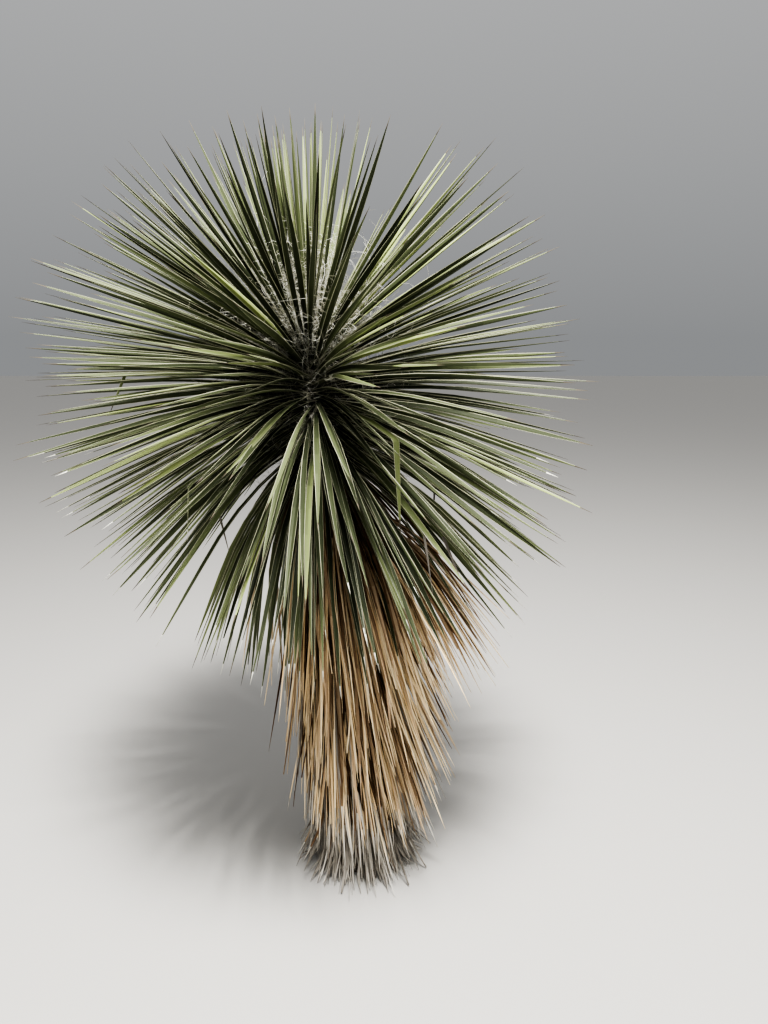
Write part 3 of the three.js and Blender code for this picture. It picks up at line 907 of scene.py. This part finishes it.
class YuccaSkirt(bpy.types.PropertyGroup):
    skirt_leaves: IntProperty(
        name="Skirt leaves", description="Straw-coloured dead leaves", default=1240, min=50)
    collar_leaves: IntProperty(
        name="Collar leaves", description="Grey dead leaves round the foot", default=480, min=10)
    half_width: FloatProperty(
        name="Half width", description="Half of a dead leaf's largest width",
        default=0.0048, min=0.001, unit="LENGTH")
    thickness: FloatProperty(
        name="Thickness", description="Thickness of a dead leaf",
        default=0.001, min=0.0003, unit="LENGTH")
    deep_colour: FloatVectorProperty(
        name="Dark brown", description="Darkest dead leaves",
        default=(0.075, 0.04, 0.02), **COLOUR)
    tan_colour: FloatVectorProperty(
        name="Tan", description="Middle of the dead leaves' tones",
        default=(0.42, 0.305, 0.195), **COLOUR)
    straw_colour: FloatVectorProperty(
        name="Straw", description="Palest dead leaves", default=(0.95, 0.79, 0.53), **COLOUR)
    dark_grey_colour: FloatVectorProperty(
        name="Dark grey", description="Darkest weathered leaves",
        default=(0.2, 0.18, 0.155), **COLOUR)
    pale_grey_colour: FloatVectorProperty(
        name="Pale grey", description="Palest weathered leaves",
        default=(0.8, 0.76, 0.68), **COLOUR)


class YuccaTrunk(bpy.types.PropertyGroup):
    scars: IntProperty(
        name="Leaf scars", description="Scars of shed leaves on the stem", default=900, min=10)
    relief: FloatProperty(
        name="Relief", description="Height of a scar's ridge", default=0.005, min=0,
        unit="LENGTH")


class YuccaStage(bpy.types.PropertyGroup):
    floor_side: FloatProperty(
        name="Floor", description="Side of the floor", default=60.0, min=4, unit="LENGTH")
    floor_colour: FloatVectorProperty(
        name="Floor colour", description="Pale plain floor",
        default=(0.5, 0.49, 0.47), **COLOUR)
    sky_strength: FloatProperty(
        name="Surrounding light", description="Strength of the even light", default=0.58, min=0)
    key_power: FloatProperty(
        name="Overhead light", description="Watts of the soft light overhead", default=680,
        min=0, unit="POWER")


# Operators: one for each piece or group of like pieces, and one for the stage

def nodes_of(group):
    """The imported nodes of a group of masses, such as crown_upper."""
    return [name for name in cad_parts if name.startswith(group)]


def green_finishes(sizes):
    """Green tones from dark to pale, then the margin with its painted highlight, the pale tip and
    the brown tip.
    """
    tones = [sizes.shade_colour, sizes.middle_colour, sizes.lit_colour]
    return [
        *tone_list("leaf_green", tones, GREEN_TONES, GREEN_SURFACE),
        blade_finish("leaf_margin_highlight", sizes.margin_highlight_colour, *MARGIN_SURFACE),
        blade_finish("leaf_tip_pale", sizes.pale_tip_colour, *TIP_SURFACE),
        blade_finish("leaf_tip_brown", sizes.brown_tip_colour, *TIP_SURFACE),
    ]


def dead_finishes(sizes):
    """Straw tones from brown to pale, then the greys of weathered leaves."""
    straws = [sizes.deep_colour, sizes.tan_colour, sizes.straw_colour]
    greys = [sizes.dark_grey_colour, sizes.pale_grey_colour]
    return [
        *tone_list("leaf_straw", straws, STRAW_TONES, STRAW_SURFACE),
        *tone_list("leaf_grey", greys, GREY_TONES, GREY_SURFACE),
    ]


def whole_steps(levels, count):
    return np.round(levels.clip(0, count - 1)).astype(int)


def green_blades(blades, sizes, width, random, tones, pale_tips, painted_shade=0.0):
    """Rings and slots of green blades with a tone each, with painted shade inwards and underneath
    and painted light towards the tip.
    """
    count, shares = len(blades), blades.shares
    size = width * random.normal(1, WIDTH_SPREAD, (count, 1)).clip(*WIDTH_ENDS)
    blades.widths = sizes.half_width * size * read_profile(GREEN_WIDTHS, shares)
    thick = sizes.thickness * size * read_profile(GREEN_THICKNESSES, shares)
    rings = blades.rings(
        *green_section(blades.widths, thick, read_profile(GREEN_CHANNELS, shares)))
    # Tones: painted shade near the root and painted light towards the tip, the painted shade given
    # for leaves in front, deepest inwards, painted light on one half of the upper side, and
    # painted shade on the other half and on the underside
    levels = (tones[:, None] + read_profile(GREEN_PAINTED_SHADING, blades.middles)
              - painted_shade * (PAINTED_SHADE_REACH - blades.middles))[:, :, None]
    hand = random.choice([-HALVES_PAINTED_APART, HALVES_PAINTED_APART], (count, 1, 1))
    across = hand * PAINTED_LIGHT_HALVES - UNDERSIDE_PAINTED_SHADE * UNDERSIDE_COLUMNS
    slots = whole_steps(levels + across, GREEN_TONES)
    # The margins' pale colour also paints a highlight along the edges
    slots[:, :, MARGIN_COLUMNS] = MARGIN_HIGHLIGHT_SLOT
    tips = np.where(random.random(count) < pale_tips, PALE_TIP_SLOT, BROWN_TIP_SLOT)
    slots = np.where(blades.middles[..., None] > TIP_FROM, tips[:, None, None], slots)
    return rings, slots


def crown_ages(tier, density):
    """Even ages through a tier, and azimuths that turn by the golden angle."""
    start, end = TIERS[tier]
    density = density * TIER_CROWDING.get(tier, 1)
    ages = np.arange(start, end, 1 / density)
    return ages, ages * density * GOLDEN_ANGLE


def towards(azimuths, side):
    """How far leaves point to a side, from 0 to 1."""
    return np.cos(np.radians(azimuths - side)).clip(0)


def rear_longer(azimuths):
    return REAR_LONGER * np.cos(np.radians(azimuths - REAR))


# Painted light on the young leaves at the rear
def rear_painted_light(azimuths):
    return REAR_PAINTED_LIGHT * towards(azimuths, REAR) ** REAR_SPREAD


def degrees_off(azimuths, side):
    """How far leaves point aside from a side, from -180 to 180."""
    return (azimuths - side + 180) % 360 - 180


def in_shade(ages, azimuths):
    """Which leaves rise in front of the heart."""
    return within(ages, SHADED_AGES) & (np.abs(degrees_off(azimuths, 0)) < SHADED_SIDE)


def parted(ages, azimuths):
    """The azimuths after the level leaves in front have turned aside."""
    off = degrees_off(azimuths, PARTING)
    turned = within(ages, PARTING_AGES) & (np.abs(off) < PARTING_SIDE)
    return azimuths + np.where(turned, np.sign(off) * PARTING_TURN, 0)


def seen_below_level(azimuths, paths):
    """The directions of leaves from the heart, in degrees below level to the camera's left."""
    tips = np.array([path[-1] for path in paths])
    turns = np.radians(azimuths)
    x = tips[:, 0] * np.sin(turns) + crown_axis(tips[:, 1])
    spots = np.stack([x, -tips[:, 0] * np.cos(turns), tips[:, 1]], 1)
    heart = [crown_axis(HEART_HEIGHT), 0, HEART_HEIGHT]
    away = np.vstack([spots, heart]) - CAMERA_SPOT
    depth = away[:, 1] * cosine(CAMERA_TILT) + away[:, 2] * sine(CAMERA_TILT)
    height = away[:, 2] * cosine(CAMERA_TILT) - away[:, 1] * sine(CAMERA_TILT)
    seen = np.stack([away[:, 0], height], 1) / depth[:, None]
    left, down = (seen[-1] - seen[:-1]).T
    return np.degrees(np.arctan2(down, left))


def drying(ages, azimuths, random):
    """Which of the leaves are dry already."""
    sideways = np.cos(np.radians(azimuths - DRYING_SIDE))
    share = DRYING_EVENLY + DRYING_SIDEWAYS * sideways
    ripe = np.interp(ages, DRYING_AGES, (0, 1))
    return random.random(len(ages)) < ripe * share


def draws_for(name):
    return np.random.default_rng(SEEDS[name])


# The green leaves that have grown, by tier, for the threads that start on them
grown = {}


class YUCCA_OT_green_leaves(bpy.types.Operator):
    """Adds the green leaves, one joined piece for each tier of the crown"""
    bl_idname = "yucca.green_leaves"
    bl_label = "Green leaves"

    def execute(self, context):
        sizes = context.scene.yucca_crown
        skirt = context.scene.yucca_skirt
        dry_mesh = JoinedMesh()
        for tier in TIERS:
            self.add_tier(tier, sizes, skirt, dry_mesh, draws_for(tier))
        self.add_fan(skirt, dry_mesh, draws_for("dry_fan"))
        dry_mesh.build("dry_crown_leaves", dead_finishes(skirt), [])
        return {"FINISHED"}

    def add_tier(self, tier, sizes, skirt, dry_mesh, random):
        """Adds a tier's green leaves as one piece, and its dry ones to the mesh of those."""
        ages, azimuths = crown_ages(tier, sizes.leaf_density)
        count = len(ages)
        azimuths = parted(ages, azimuths + random.normal(0, AZIMUTH_SPREAD, count))
        left = towards(azimuths, LEFT_SIDE)
        sparse = towards(azimuths, SPARSE_SIDE)
        dry = drying(ages, azimuths, random)
        tilts = random.normal(0, TILT_SPREAD, count) + DRY_TILT * dry
        factors = 1 + random.uniform(*LENGTH_VARIES, count) + LEFT_LONGER[tier] * left ** 2
        if tier == "crown_hanging":
            factors += HANGING_LEFT * left
        if tier == "crown_upper":
            factors += rear_longer(azimuths)
        paths = [green_path(*leaf) for leaf in zip(ages, azimuths, tilts, factors)]

        shaded = in_shade(ages, azimuths)
        dropped = shaded & (random.random(count) < SHADED_DROPPED)
        below = seen_below_level(azimuths, paths)
        for start, end, share in GAPS:
            dropped |= within(below, (start, end)) & (random.random(count) < share)
        dropped |= random.random(count) < SPARSE_DROPPED * sparse
        green = np.flatnonzero(~dry & ~dropped)

        shares = np.array(GREEN_SHARES)
        bends = random.normal(0, BEND_SPREAD, (len(green), 1)) * shares ** 2
        turns = (random.normal(0, ROOT_TURN_SPREAD, (len(green), 1))
                 + random.normal(0, TIP_TURN_SPREAD, (len(green), 1)) * shares)
        blades = Blades([paths[k] for k in green], azimuths[green], crown_axis, shares,
                        GREEN_ROUNDING, bends, turns)
        # Painted shade on the drooping leaves in front, deepest inwards, and on the level leaves
        # at the right; painted light on the young leaves at the rear; painted shade on the level
        # leaves and painted light on the drooping ones at the left; painted shade on the rising
        # leaves in front; the wider tone spread in front paints some leaves lit and some shaded
        facing = towards(azimuths, FACING_SIDE) ** FACING_NARROWED
        painted_shade = np.interp(ages, FACING_AGES, (0, FACING_PAINTED_SHADE)) * facing
        painted_shade += read_profile(LEVEL_PAINTED_SHADE, ages) * sparse
        paler = np.interp(ages, REAR_AGES, (1, 0)) * rear_painted_light(azimuths)
        paler += read_profile(LEFT_PAINTED_LIGHT_AND_SHADE, ages) * left - SHADED_DARKER * shaded
        tones = TIER_TONES[tier] + paler[green]
        tones += random.normal(0, TONE_SPREAD + FACING_PAINTED_CONTRAST * facing[green])
        widths = TIER_WIDTHS[tier] * (1 + SPARSE_BROADER * sparse[green])[:, None]
        rings, slots = green_blades(
            blades, sizes, widths, random, tones, PALE_TIPS.get(tier, 0), painted_shade[green, None])
        mesh = JoinedMesh()
        mesh.add(rings, slots, SHARP_COLUMNS)
        mesh.build(f"{tier}_leaves", green_finishes(sizes), nodes_of(tier))
        grown[tier] = blades

        old = np.flatnonzero(dry & ~dropped)
        if len(old):
            tones = random.normal(*DRY_TONES, len(old))
            add_dead_blades(dry_mesh, [paths[k] for k in old], azimuths[old], crown_axis, tones,
                            0, skirt, random)

    def add_fan(self, skirt, dry_mesh, random):
        """Adds the fan of dry leaves on the right of the front."""
        ages = random.uniform(*FAN_AGES, FAN_LEAVES)
        azimuths = random.normal(FAN_SIDE, FAN_SPREAD, FAN_LEAVES)
        tilts = random.normal(*FAN_TILTS, FAN_LEAVES)
        lengths = random.uniform(*FAN_LENGTHS, FAN_LEAVES)
        paths = [
            [(out, height - FAN_LOWER) for out, height in green_path(*leaf)]
            for leaf in zip(ages, azimuths, tilts, lengths)
        ]
        tones = random.normal(*FAN_TONES, FAN_LEAVES)
        add_dead_blades(dry_mesh, paths, azimuths, crown_axis, tones, 0, skirt, random)


class YUCCA_OT_spear(bpy.types.Operator):
    """Adds the youngest leaves, which stand up over the trunk's tip"""
    bl_idname = "yucca.spear"
    bl_label = "Spear leaves"

    def execute(self, context):
        sizes = context.scene.yucca_crown
        random = draws_for("spear")
        count = sizes.spear_leaves
        shares = (np.arange(count) + 0.5) / count
        azimuths = np.arange(count) * GOLDEN_ANGLE
        factors = 1 + rear_longer(azimuths)
        paths = [
            spear_path(share, random.normal(0, SPEAR_TILT_SPREAD),
                       factor + random.uniform(*LENGTH_VARIES))
            for share, factor in zip(shares, factors)
        ]
        turns = random.normal(0, SPEAR_TURN_SPREAD, (count, 1)) + np.zeros(len(GREEN_SHARES))
        blades = Blades(paths, azimuths, crown_axis, GREEN_SHARES, GREEN_ROUNDING, 0, turns)
        mesh = JoinedMesh()
        tones = TIER_TONES["spear"] + random.normal(0, SPEAR_TONE_SPREAD, count)
        # Painted light on the young leaves at the rear
        tones += rear_painted_light(azimuths)
        rings, slots = green_blades(blades, sizes, TIER_WIDTHS["spear"], random, tones, 0)
        mesh.add(rings, slots, SHARP_COLUMNS)
        mesh.build("spear_leaves", green_finishes(sizes), ["spear"])
        grown["spear"] = blades
        return {"FINISHED"}


class YUCCA_OT_folded_leaves(bpy.types.Operator):
    """Adds the few leaves whose ends hang from a fold, and the one that is twisted"""
    bl_idname = "yucca.folded_leaves"
    bl_label = "Folded leaves"

    def execute(self, context):
        sizes = context.scene.yucca_crown
        random = draws_for("folded_leaves")
        azimuths = np.array([leaf[1] for leaf in FOLDED_LEAVES])
        dry = np.array([leaf[-1] for leaf in FOLDED_LEAVES])[:, None]
        steps = np.array(FOLDED_SHARES)
        paths = [folded_path(*leaf[:-1]) for leaf in FOLDED_LEAVES]
        lengths = np.array([distances_along(path)[-1] for path in paths])
        folds = (1 - np.array([leaf[3] for leaf in FOLDED_LEAVES]) / lengths)[:, None]
        shares = np.where(steps < 0, folds * (1 + steps), mix(folds, 1, steps))
        turns = random.normal(0, FOLDED_TURN_SPREAD, folds.shape) + FOLDED_TURN * (steps > 0)
        blades = Blades(paths, azimuths, crown_axis, shares, FOLDED_ROUNDING, 0, turns)
        mesh = JoinedMesh()
        tones = random.normal(*FOLDED_TONES, len(azimuths))
        rings, slots = green_blades(blades, sizes, 1.0, random, tones, FOLDED_PALE_TIPS)
        ended = (dry & (blades.middles > folds))[..., None]
        greys = random.integers(0, DRY_END_TONES, (len(azimuths), 1, 1))
        dry_tones = FIRST_DEAD_SLOT + STRAW_TONES + greys
        mesh.add(rings, np.where(ended, dry_tones, slots), SHARP_COLUMNS)
        self.add_twisted(mesh, sizes, random)
        finishes = green_finishes(sizes) + dead_finishes(context.scene.yucca_skirt)
        mesh.build("folded_leaves", finishes, [])
        return {"FINISHED"}

    def add_twisted(self, mesh, sizes, random):
        """Adds the leaf that turns over near the heart of the crown."""
        path = green_path(*TWISTED_LEAF, 0, 1)
        shares = np.linspace(0, 1, TWISTED_STEPS)
        turns = np.array([TWIST * smooth_share(share, TWIST_ENDS) for share in shares])
        blade = Blades(
            [path], TWISTED_LEAF[1:], crown_axis, shares, TWISTED_ROUNDING, 0, turns[None])
        rings, slots = green_blades(blade, sizes, 1.0, random, np.array([TWISTED_TONE]), 0)
        # Painted light: the turned part takes the pale tip colour
        slots[:, within(blade.middles[0], TWIST_ENDS)] = PALE_TIP_SLOT
        mesh.add(rings, slots, SHARP_COLUMNS)


def unit(vectors):
    return vectors / np.linalg.norm(vectors, axis=-1, keepdims=True)


def thread_rings(spots, radii):
    """The rings of thin prisms along spots (thread, place, xyz)."""
    along = unit(np.gradient(spots, axis=1))
    helper = np.where(np.abs(along[..., 2:]) < 0.8, (0.0, 0.0, 1.0), (1.0, 0.0, 0.0))
    first = unit(np.cross(along, helper))
    second = np.cross(along, first)
    turns = 2 * np.pi * np.arange(FIBRE_SIDES)[:, None] / FIBRE_SIDES
    circle = first[:, :, None] * np.cos(turns) + second[:, :, None] * np.sin(turns)
    return spots[:, :, None] + circle * radii[:, :, None, None]


class YUCCA_OT_fibres(bpy.types.Operator):
    """Adds the curly threads that peel off the leaves' margins"""
    bl_idname = "yucca.fibres"
    bl_label = "Marginal fibres"

    def execute(self, context):
        sizes = context.scene.yucca_fibres
        finishes = [
            blade_finish("fibre_pale", sizes.colour, *FIBRE_SURFACE),
            blade_finish("fibre_grey", sizes.grey_colour, *FIBRE_SURFACE),
        ]
        for name, tiers in FIBRE_PIECES.items():
            random = draws_for(name)
            mesh = JoinedMesh()
            for tier, share in tiers.items():
                rings = FIBRE_RINGS.get(tier, OUTER_FIBRE_RINGS)
                grey = GREY_FIBRES.get(tier, OUTER_GREY_FIBRES)
                count = int(sizes.count * share)
                self.add_threads(mesh, grown[tier], rings, count, grey, sizes, random)
            mesh.build(name, finishes, [])
        return {"FINISHED"}

    def add_threads(self, mesh, blades, rings, count, grey, sizes, random):
        """Adds threads that start on margins, between two rings, and curl."""
        leaf = random.integers(0, len(blades), count)
        place = mix(*rings, random.beta(*FIBRE_PLACES, count))
        ring = place.astype(int)
        on = (place - ring)[:, None]

        def between(values):
            return values[leaf, ring] * (1 - on) + values[leaf, ring + 1] * on

        hand = random.choice([-1.0, 1.0], (count, 1))
        across = between(blades.across) * hand
        start = between(blades.spots) + across * between(blades.widths[..., None]) * FIBRE_ROOT
        wobble = random.normal(0, FIBRE_WOBBLE, (count, 3))
        first = unit(across + FIBRE_FORWARD * between(blades.along) + wobble)
        second = unit(np.cross(first, random.normal(0, 1, (count, 3))))
        steps = np.linspace(0, 1, FIBRE_STEPS)
        long = random.random((count, 1)) < LONG_FIBRES
        length = random.gamma(*FIBRE_LENGTHS, (count, 1)) + SHORTEST_FIBRE
        length *= np.where(long, LONG_FACTOR, 1)
        turns = random.uniform(*FIBRE_TURNS, (count, 1)) * 2 * np.pi
        angle = turns * steps ** FIBRE_CURL
        heading = (np.cos(angle)[..., None] * first[:, None]
                   + np.sin(angle)[..., None] * second[:, None])
        drifts = random.uniform(-FIBRE_DRIFT, FIBRE_DRIFT, (count, 1, 1))
        drift = np.cross(first, second)[:, None] * drifts
        moved = np.cumsum(heading + drift, axis=1) * (length / FIBRE_STEPS)[..., None]
        spots = start[:, None] + moved - moved[:, :1]
        radii = np.broadcast_to(sizes.radius * (1 - FIBRE_TAPER * steps), spots.shape[:2])
        slots = (random.random((count, 1, 1)) < grey).astype(int)
        slots = slots.repeat(FIBRE_STEPS - 1, 1).repeat(FIBRE_SIDES, 2)
        mesh.add(thread_rings(spots, radii), slots)


def add_dead_blades(mesh, paths, azimuths, axis, tones, greying, sizes, random):
    """Adds dead blades on their paths, each with a straw tone, some of them greyed."""
    count = len(paths)
    shares = np.array(DEAD_SHARES)
    crossing = random.random(count) < CROSSING_SHARE
    swing = random.normal(0, np.where(crossing, CROSSING_SWING, PLAIN_SWING))
    swing = swing.clip(-LARGEST_SWING, LARGEST_SWING)
    swing *= np.array([math.dist(path[-2], path[-1]) for path in paths]) / DEAD_LENGTH
    wave = random.normal(0, WAVE_SPREAD, (count, 1))
    wave = wave * np.sin(shares * random.uniform(*WAVE_TURNS, (count, 1)))
    turns = (random.normal(0, DEAD_ROOT_TURN_SPREAD, (count, 1))
             + random.normal(0, DEAD_TIP_TURN_SPREAD, (count, 1)) * shares)
    bends = swing[:, None] * shares + wave
    blades = Blades(paths, azimuths, axis, shares, DEAD_ROUNDING, bends, turns)
    split = np.where(random.random(count) < SPLIT_SHARE, SPLIT_WIDTH, 1.0)
    size = split * random.normal(1, DEAD_WIDTH_SPREAD, count).clip(*DEAD_WIDTH_ENDS)
    broken = (random.random(count) < BROKEN_SHARE)[:, None]
    profile = np.where(
        broken, read_profile(BROKEN_WIDTHS, shares), read_profile(DEAD_WIDTHS, shares))
    widths = sizes.half_width * size[:, None] * profile
    folds = random.uniform(*DEAD_FOLDS, (count, 1)) + TIP_FOLD * shares
    folds = folds.clip(0, LARGEST_FOLD)
    rings = blades.rings(*dead_section(widths, sizes.thickness, folds))
    heights = blades.spots[:, 1:, 2]
    # Painted shade near the root from the climb, and painted shade under the crown by height; the
    # greys follow this straw tone, painted shade included
    straw = (tones[:, None] + read_profile(DEAD_PAINTED_SHADE_CLIMB, blades.middles)
             - read_profile(CROWN_SHADE, heights))
    grey = random.normal(*GREY_LEVEL, (count, 1)) + GREY_CLIMB * straw / STRAW_TONES
    greyed = (random.random(count) < greying)[:, None]
    greyed = greyed | (heights < random.normal(*WEATHERED_BELOW, (count, 1)))
    levels = np.where(
        greyed, STRAW_TONES + whole_steps(grey, GREY_TONES), whole_steps(straw, STRAW_TONES))
    slots = np.repeat(levels[:, :, None], rings.shape[2], axis=2)
    mesh.add(rings, slots, sharp_columns=range(6))


def dead_azimuths(count, random):
    return np.arange(count) * GOLDEN_ANGLE + random.normal(0, DEAD_AZIMUTH_SPREAD, count)


class YUCCA_OT_skirt(bpy.types.Operator):
    """Adds the skirt of straw-coloured dead leaves"""
    bl_idname = "yucca.skirt"
    bl_label = "Skirt of dead leaves"

    def execute(self, context):
        sizes = context.scene.yucca_skirt
        for part, span in SKIRT_SPANS.items():
            random = draws_for(part)
            count = sizes.skirt_leaves // len(SKIRT_SPANS)
            heights = np.linspace(*span, count)
            azimuths = dead_azimuths(count, random)
            lengths = random.normal(*SKIRT_LENGTHS, count).clip(*SKIRT_LENGTH_ENDS)
            left = towards(azimuths, LEFT_SIDE) ** 2
            tilts = random.normal(0, SKIRT_TILT_SPREAD, count) + LEFT_TILT * left
            lowest = random.uniform(*SKIRT_ENDS, count)
            leaves = zip(heights, azimuths, tilts, DEAD_LENGTH * lengths, lowest)
            paths = [dead_path(*leaf) for leaf in leaves]
            # Painted shade on leaves tilted in, painted light on those tilted out
            tones = random.normal(SKIRT_TONE, SKIRT_TONE_SPREAD, count) + TILT_PAINTED_SHADE * tilts
            greying = LEFT_GREYING * left * (heights < LEFT_GREYING_BELOW)
            greying += read_profile(GREYING, heights)
            mesh = JoinedMesh()
            add_dead_blades(mesh, paths, azimuths, lower_axis, tones, greying, sizes, random)
            mesh.build(f"{part}_leaves", dead_finishes(sizes), nodes_of(part))
        return {"FINISHED"}


class YUCCA_OT_collar(bpy.types.Operator):
    """Adds the grey, worn dead leaves round the foot"""
    bl_idname = "yucca.collar"
    bl_label = "Weathered collar"

    def execute(self, context):
        sizes = context.scene.yucca_skirt
        random = draws_for("collar")
        count = sizes.collar_leaves
        heights = np.linspace(COLLAR_TOP, COLLAR_LOWEST_ROOT, count)
        azimuths = dead_azimuths(count, random)
        lengths = DEAD_LENGTH * random.uniform(*COLLAR_LENGTHS, count)
        tilts = random.normal(*COLLAR_TILTS, count)
        paths = [collar_path(*leaf) for leaf in zip(heights, azimuths, tilts, lengths)]
        tones = random.normal(*COLLAR_TONES, count)
        mesh = JoinedMesh()
        add_dead_blades(
            mesh, paths, azimuths, lower_axis, tones, COLLAR_GREYING, sizes, random)
        mesh.build("collar_leaves", dead_finishes(sizes), nodes_of("collar"))
        return {"FINISHED"}


class YUCCA_OT_trunk(bpy.types.Operator):
    """Adds the stem with the relief of its leaf scars in place of the plain trunk"""
    bl_idname = "yucca.trunk"
    bl_label = "Trunk"

    def execute(self, context):
        sizes = context.scene.yucca_trunk
        heights = np.linspace(0, TRUNK_TIP, STEM_STEPS)
        turns = 2 * np.pi * np.arange(STEM_COLUMNS) / STEM_COLUMNS
        relief = np.zeros((STEM_STEPS, STEM_COLUMNS))
        scar_heights = (np.arange(sizes.scars) + 0.5) * TRUNK_TIP / sizes.scars
        scar_turns = np.radians(np.arange(sizes.scars) * GOLDEN_ANGLE)
        for scar_height, scar_turn in zip(scar_heights, scar_turns):
            radius = trunk_radius(scar_height)
            off = (turns - scar_turn + np.pi) % (2 * np.pi) - np.pi
            wide = np.abs(off * radius)[None] / SCAR_WIDTH
            high = np.abs(heights - scar_height)[:, None] / SCAR_HEIGHT
            relief = np.maximum(relief, (1 - wide - high).clip(0, 1))
        relief = relief ** SCAR_BLUNTNESS - RELIEF_SUNK
        radii = trunk_radius(heights)[:, None] + sizes.relief * relief
        x = radii * np.cos(turns) + stem_axis(heights)[:, None]
        y = radii * np.sin(turns)
        z = np.broadcast_to(heights[:, None], x.shape)
        rings = np.stack([x, y, z], -1)[None]
        mesh = JoinedMesh()
        mesh.add(rings, np.zeros((1, STEM_STEPS - 1, STEM_COLUMNS), dtype=int))
        mesh.build("trunk_bark", [bark_finish("bark")], ["trunk"])
        return {"FINISHED"}


class YUCCA_OT_stage(bpy.types.Operator):
    """Adds the floor, the studio light and the camera"""
    bl_idname = "yucca.stage"
    bl_label = "Floor, light and camera"

    def execute(self, context):
        sizes = context.scene.yucca_stage
        half = sizes.floor_side / 2
        mesh = bpy.data.meshes.new("floor")
        corners = [(-half, -half, 0), (half, -half, 0), (half, half, 0), (-half, half, 0)]
        mesh.from_pydata(corners, [], [(0, 1, 2, 3)])
        mesh.materials.append(plain_finish("floor", sizes.floor_colour, FLOOR_ROUGHNESS))
        floor = bpy.data.objects.new("floor", mesh)
        context.scene.collection.objects.link(floor)

        self.add_surroundings(context, sizes.sky_strength)
        self.add_light(context, sizes.key_power)
        context.scene.view_settings.view_transform = "AgX"
        context.scene.view_settings.look = "AgX - High Contrast"

        camera_data = bpy.data.cameras.new("camera")
        camera_data.sensor_fit = "VERTICAL"
        camera_data.sensor_height = SENSOR
        camera_data.lens = FOCAL_PIXELS / FRAME_PIXELS * SENSOR
        camera = bpy.data.objects.new("camera", camera_data)
        camera.location = CAMERA_SPOT
        camera.rotation_euler = (math.radians(90 + CAMERA_TILT), 0, 0)
        context.scene.collection.objects.link(camera)
        context.scene.camera = camera
        return {"FINISHED"}

    def add_surroundings(self, context, strength):
        """Even light that is dimmer towards the horizon than overhead."""
        world = bpy.data.worlds.new("studio")
        world.use_nodes = True
        sky = NodeTree(world.node_tree)
        directions = sky.node("ShaderNodeTexCoord", output="Generated")
        height = sky.node("ShaderNodeSeparateXYZ", None, {0: directions}, output="Z")
        tone = sky.node("ShaderNodeValToRGB", {"stops": SKY_TONES}, {0: height})
        light = sky.node("ShaderNodeBackground", None, {"Color": tone, "Strength": strength})
        sky.node("ShaderNodeOutputWorld", None, {"Surface": light})
        context.scene.world = world

    def add_light(self, context, power):
        data = bpy.data.lights.new("key", "AREA")
        data.shape = "SQUARE"
        data.size = LIGHT_SIDE
        data.energy = power
        data.color = LIGHT_COLOUR
        light = bpy.data.objects.new("key", data)
        light.location = LIGHT_SPOT
        aim = Vector(LIGHT_TARGET) - light.location
        light.rotation_euler = aim.to_track_quat("-Z", "Y").to_euler()
        context.scene.collection.objects.link(light)


OPERATORS = [
    YUCCA_OT_stage, YUCCA_OT_trunk, YUCCA_OT_spear, YUCCA_OT_green_leaves,
    YUCCA_OT_folded_leaves, YUCCA_OT_fibres, YUCCA_OT_skirt, YUCCA_OT_collar,
]
GROUPS = {
    "yucca_crown": YuccaCrown,
    "yucca_fibres": YuccaFibres,
    "yucca_skirt": YuccaSkirt,
    "yucca_trunk": YuccaTrunk,
    "yucca_stage": YuccaStage,
}


class YUCCA_PT_panel(bpy.types.Panel):
    """Lists the plant's pieces"""
    bl_idname = "YUCCA_PT_panel"
    bl_label = "Soaptree yucca"
    bl_space_type = "VIEW_3D"
    bl_region_type = "UI"
    bl_category = "Yucca"

    def draw(self, context):
        for operator in OPERATORS:
            self.layout.operator(operator.bl_idname)
        for name, group in GROUPS.items():
            box = self.layout.box()
            for value in group.__annotations__:
                box.prop(getattr(context.scene, name), value)


def register():
    for kind in [*GROUPS.values(), *OPERATORS, YUCCA_PT_panel]:
        bpy.utils.register_class(kind)
    for name, group in GROUPS.items():
        setattr(bpy.types.Scene, name, PointerProperty(type=group))


def unregister():
    for name in GROUPS:
        delattr(bpy.types.Scene, name)
    for kind in [YUCCA_PT_panel, *reversed(OPERATORS), *reversed(GROUPS.values())]:
        bpy.utils.unregister_class(kind)


def main():
    register()
    for operator in OPERATORS:
        group, name = operator.bl_idname.split(".")
        getattr(getattr(bpy.ops, group), name)()


if __name__ == "__main__":
    main()
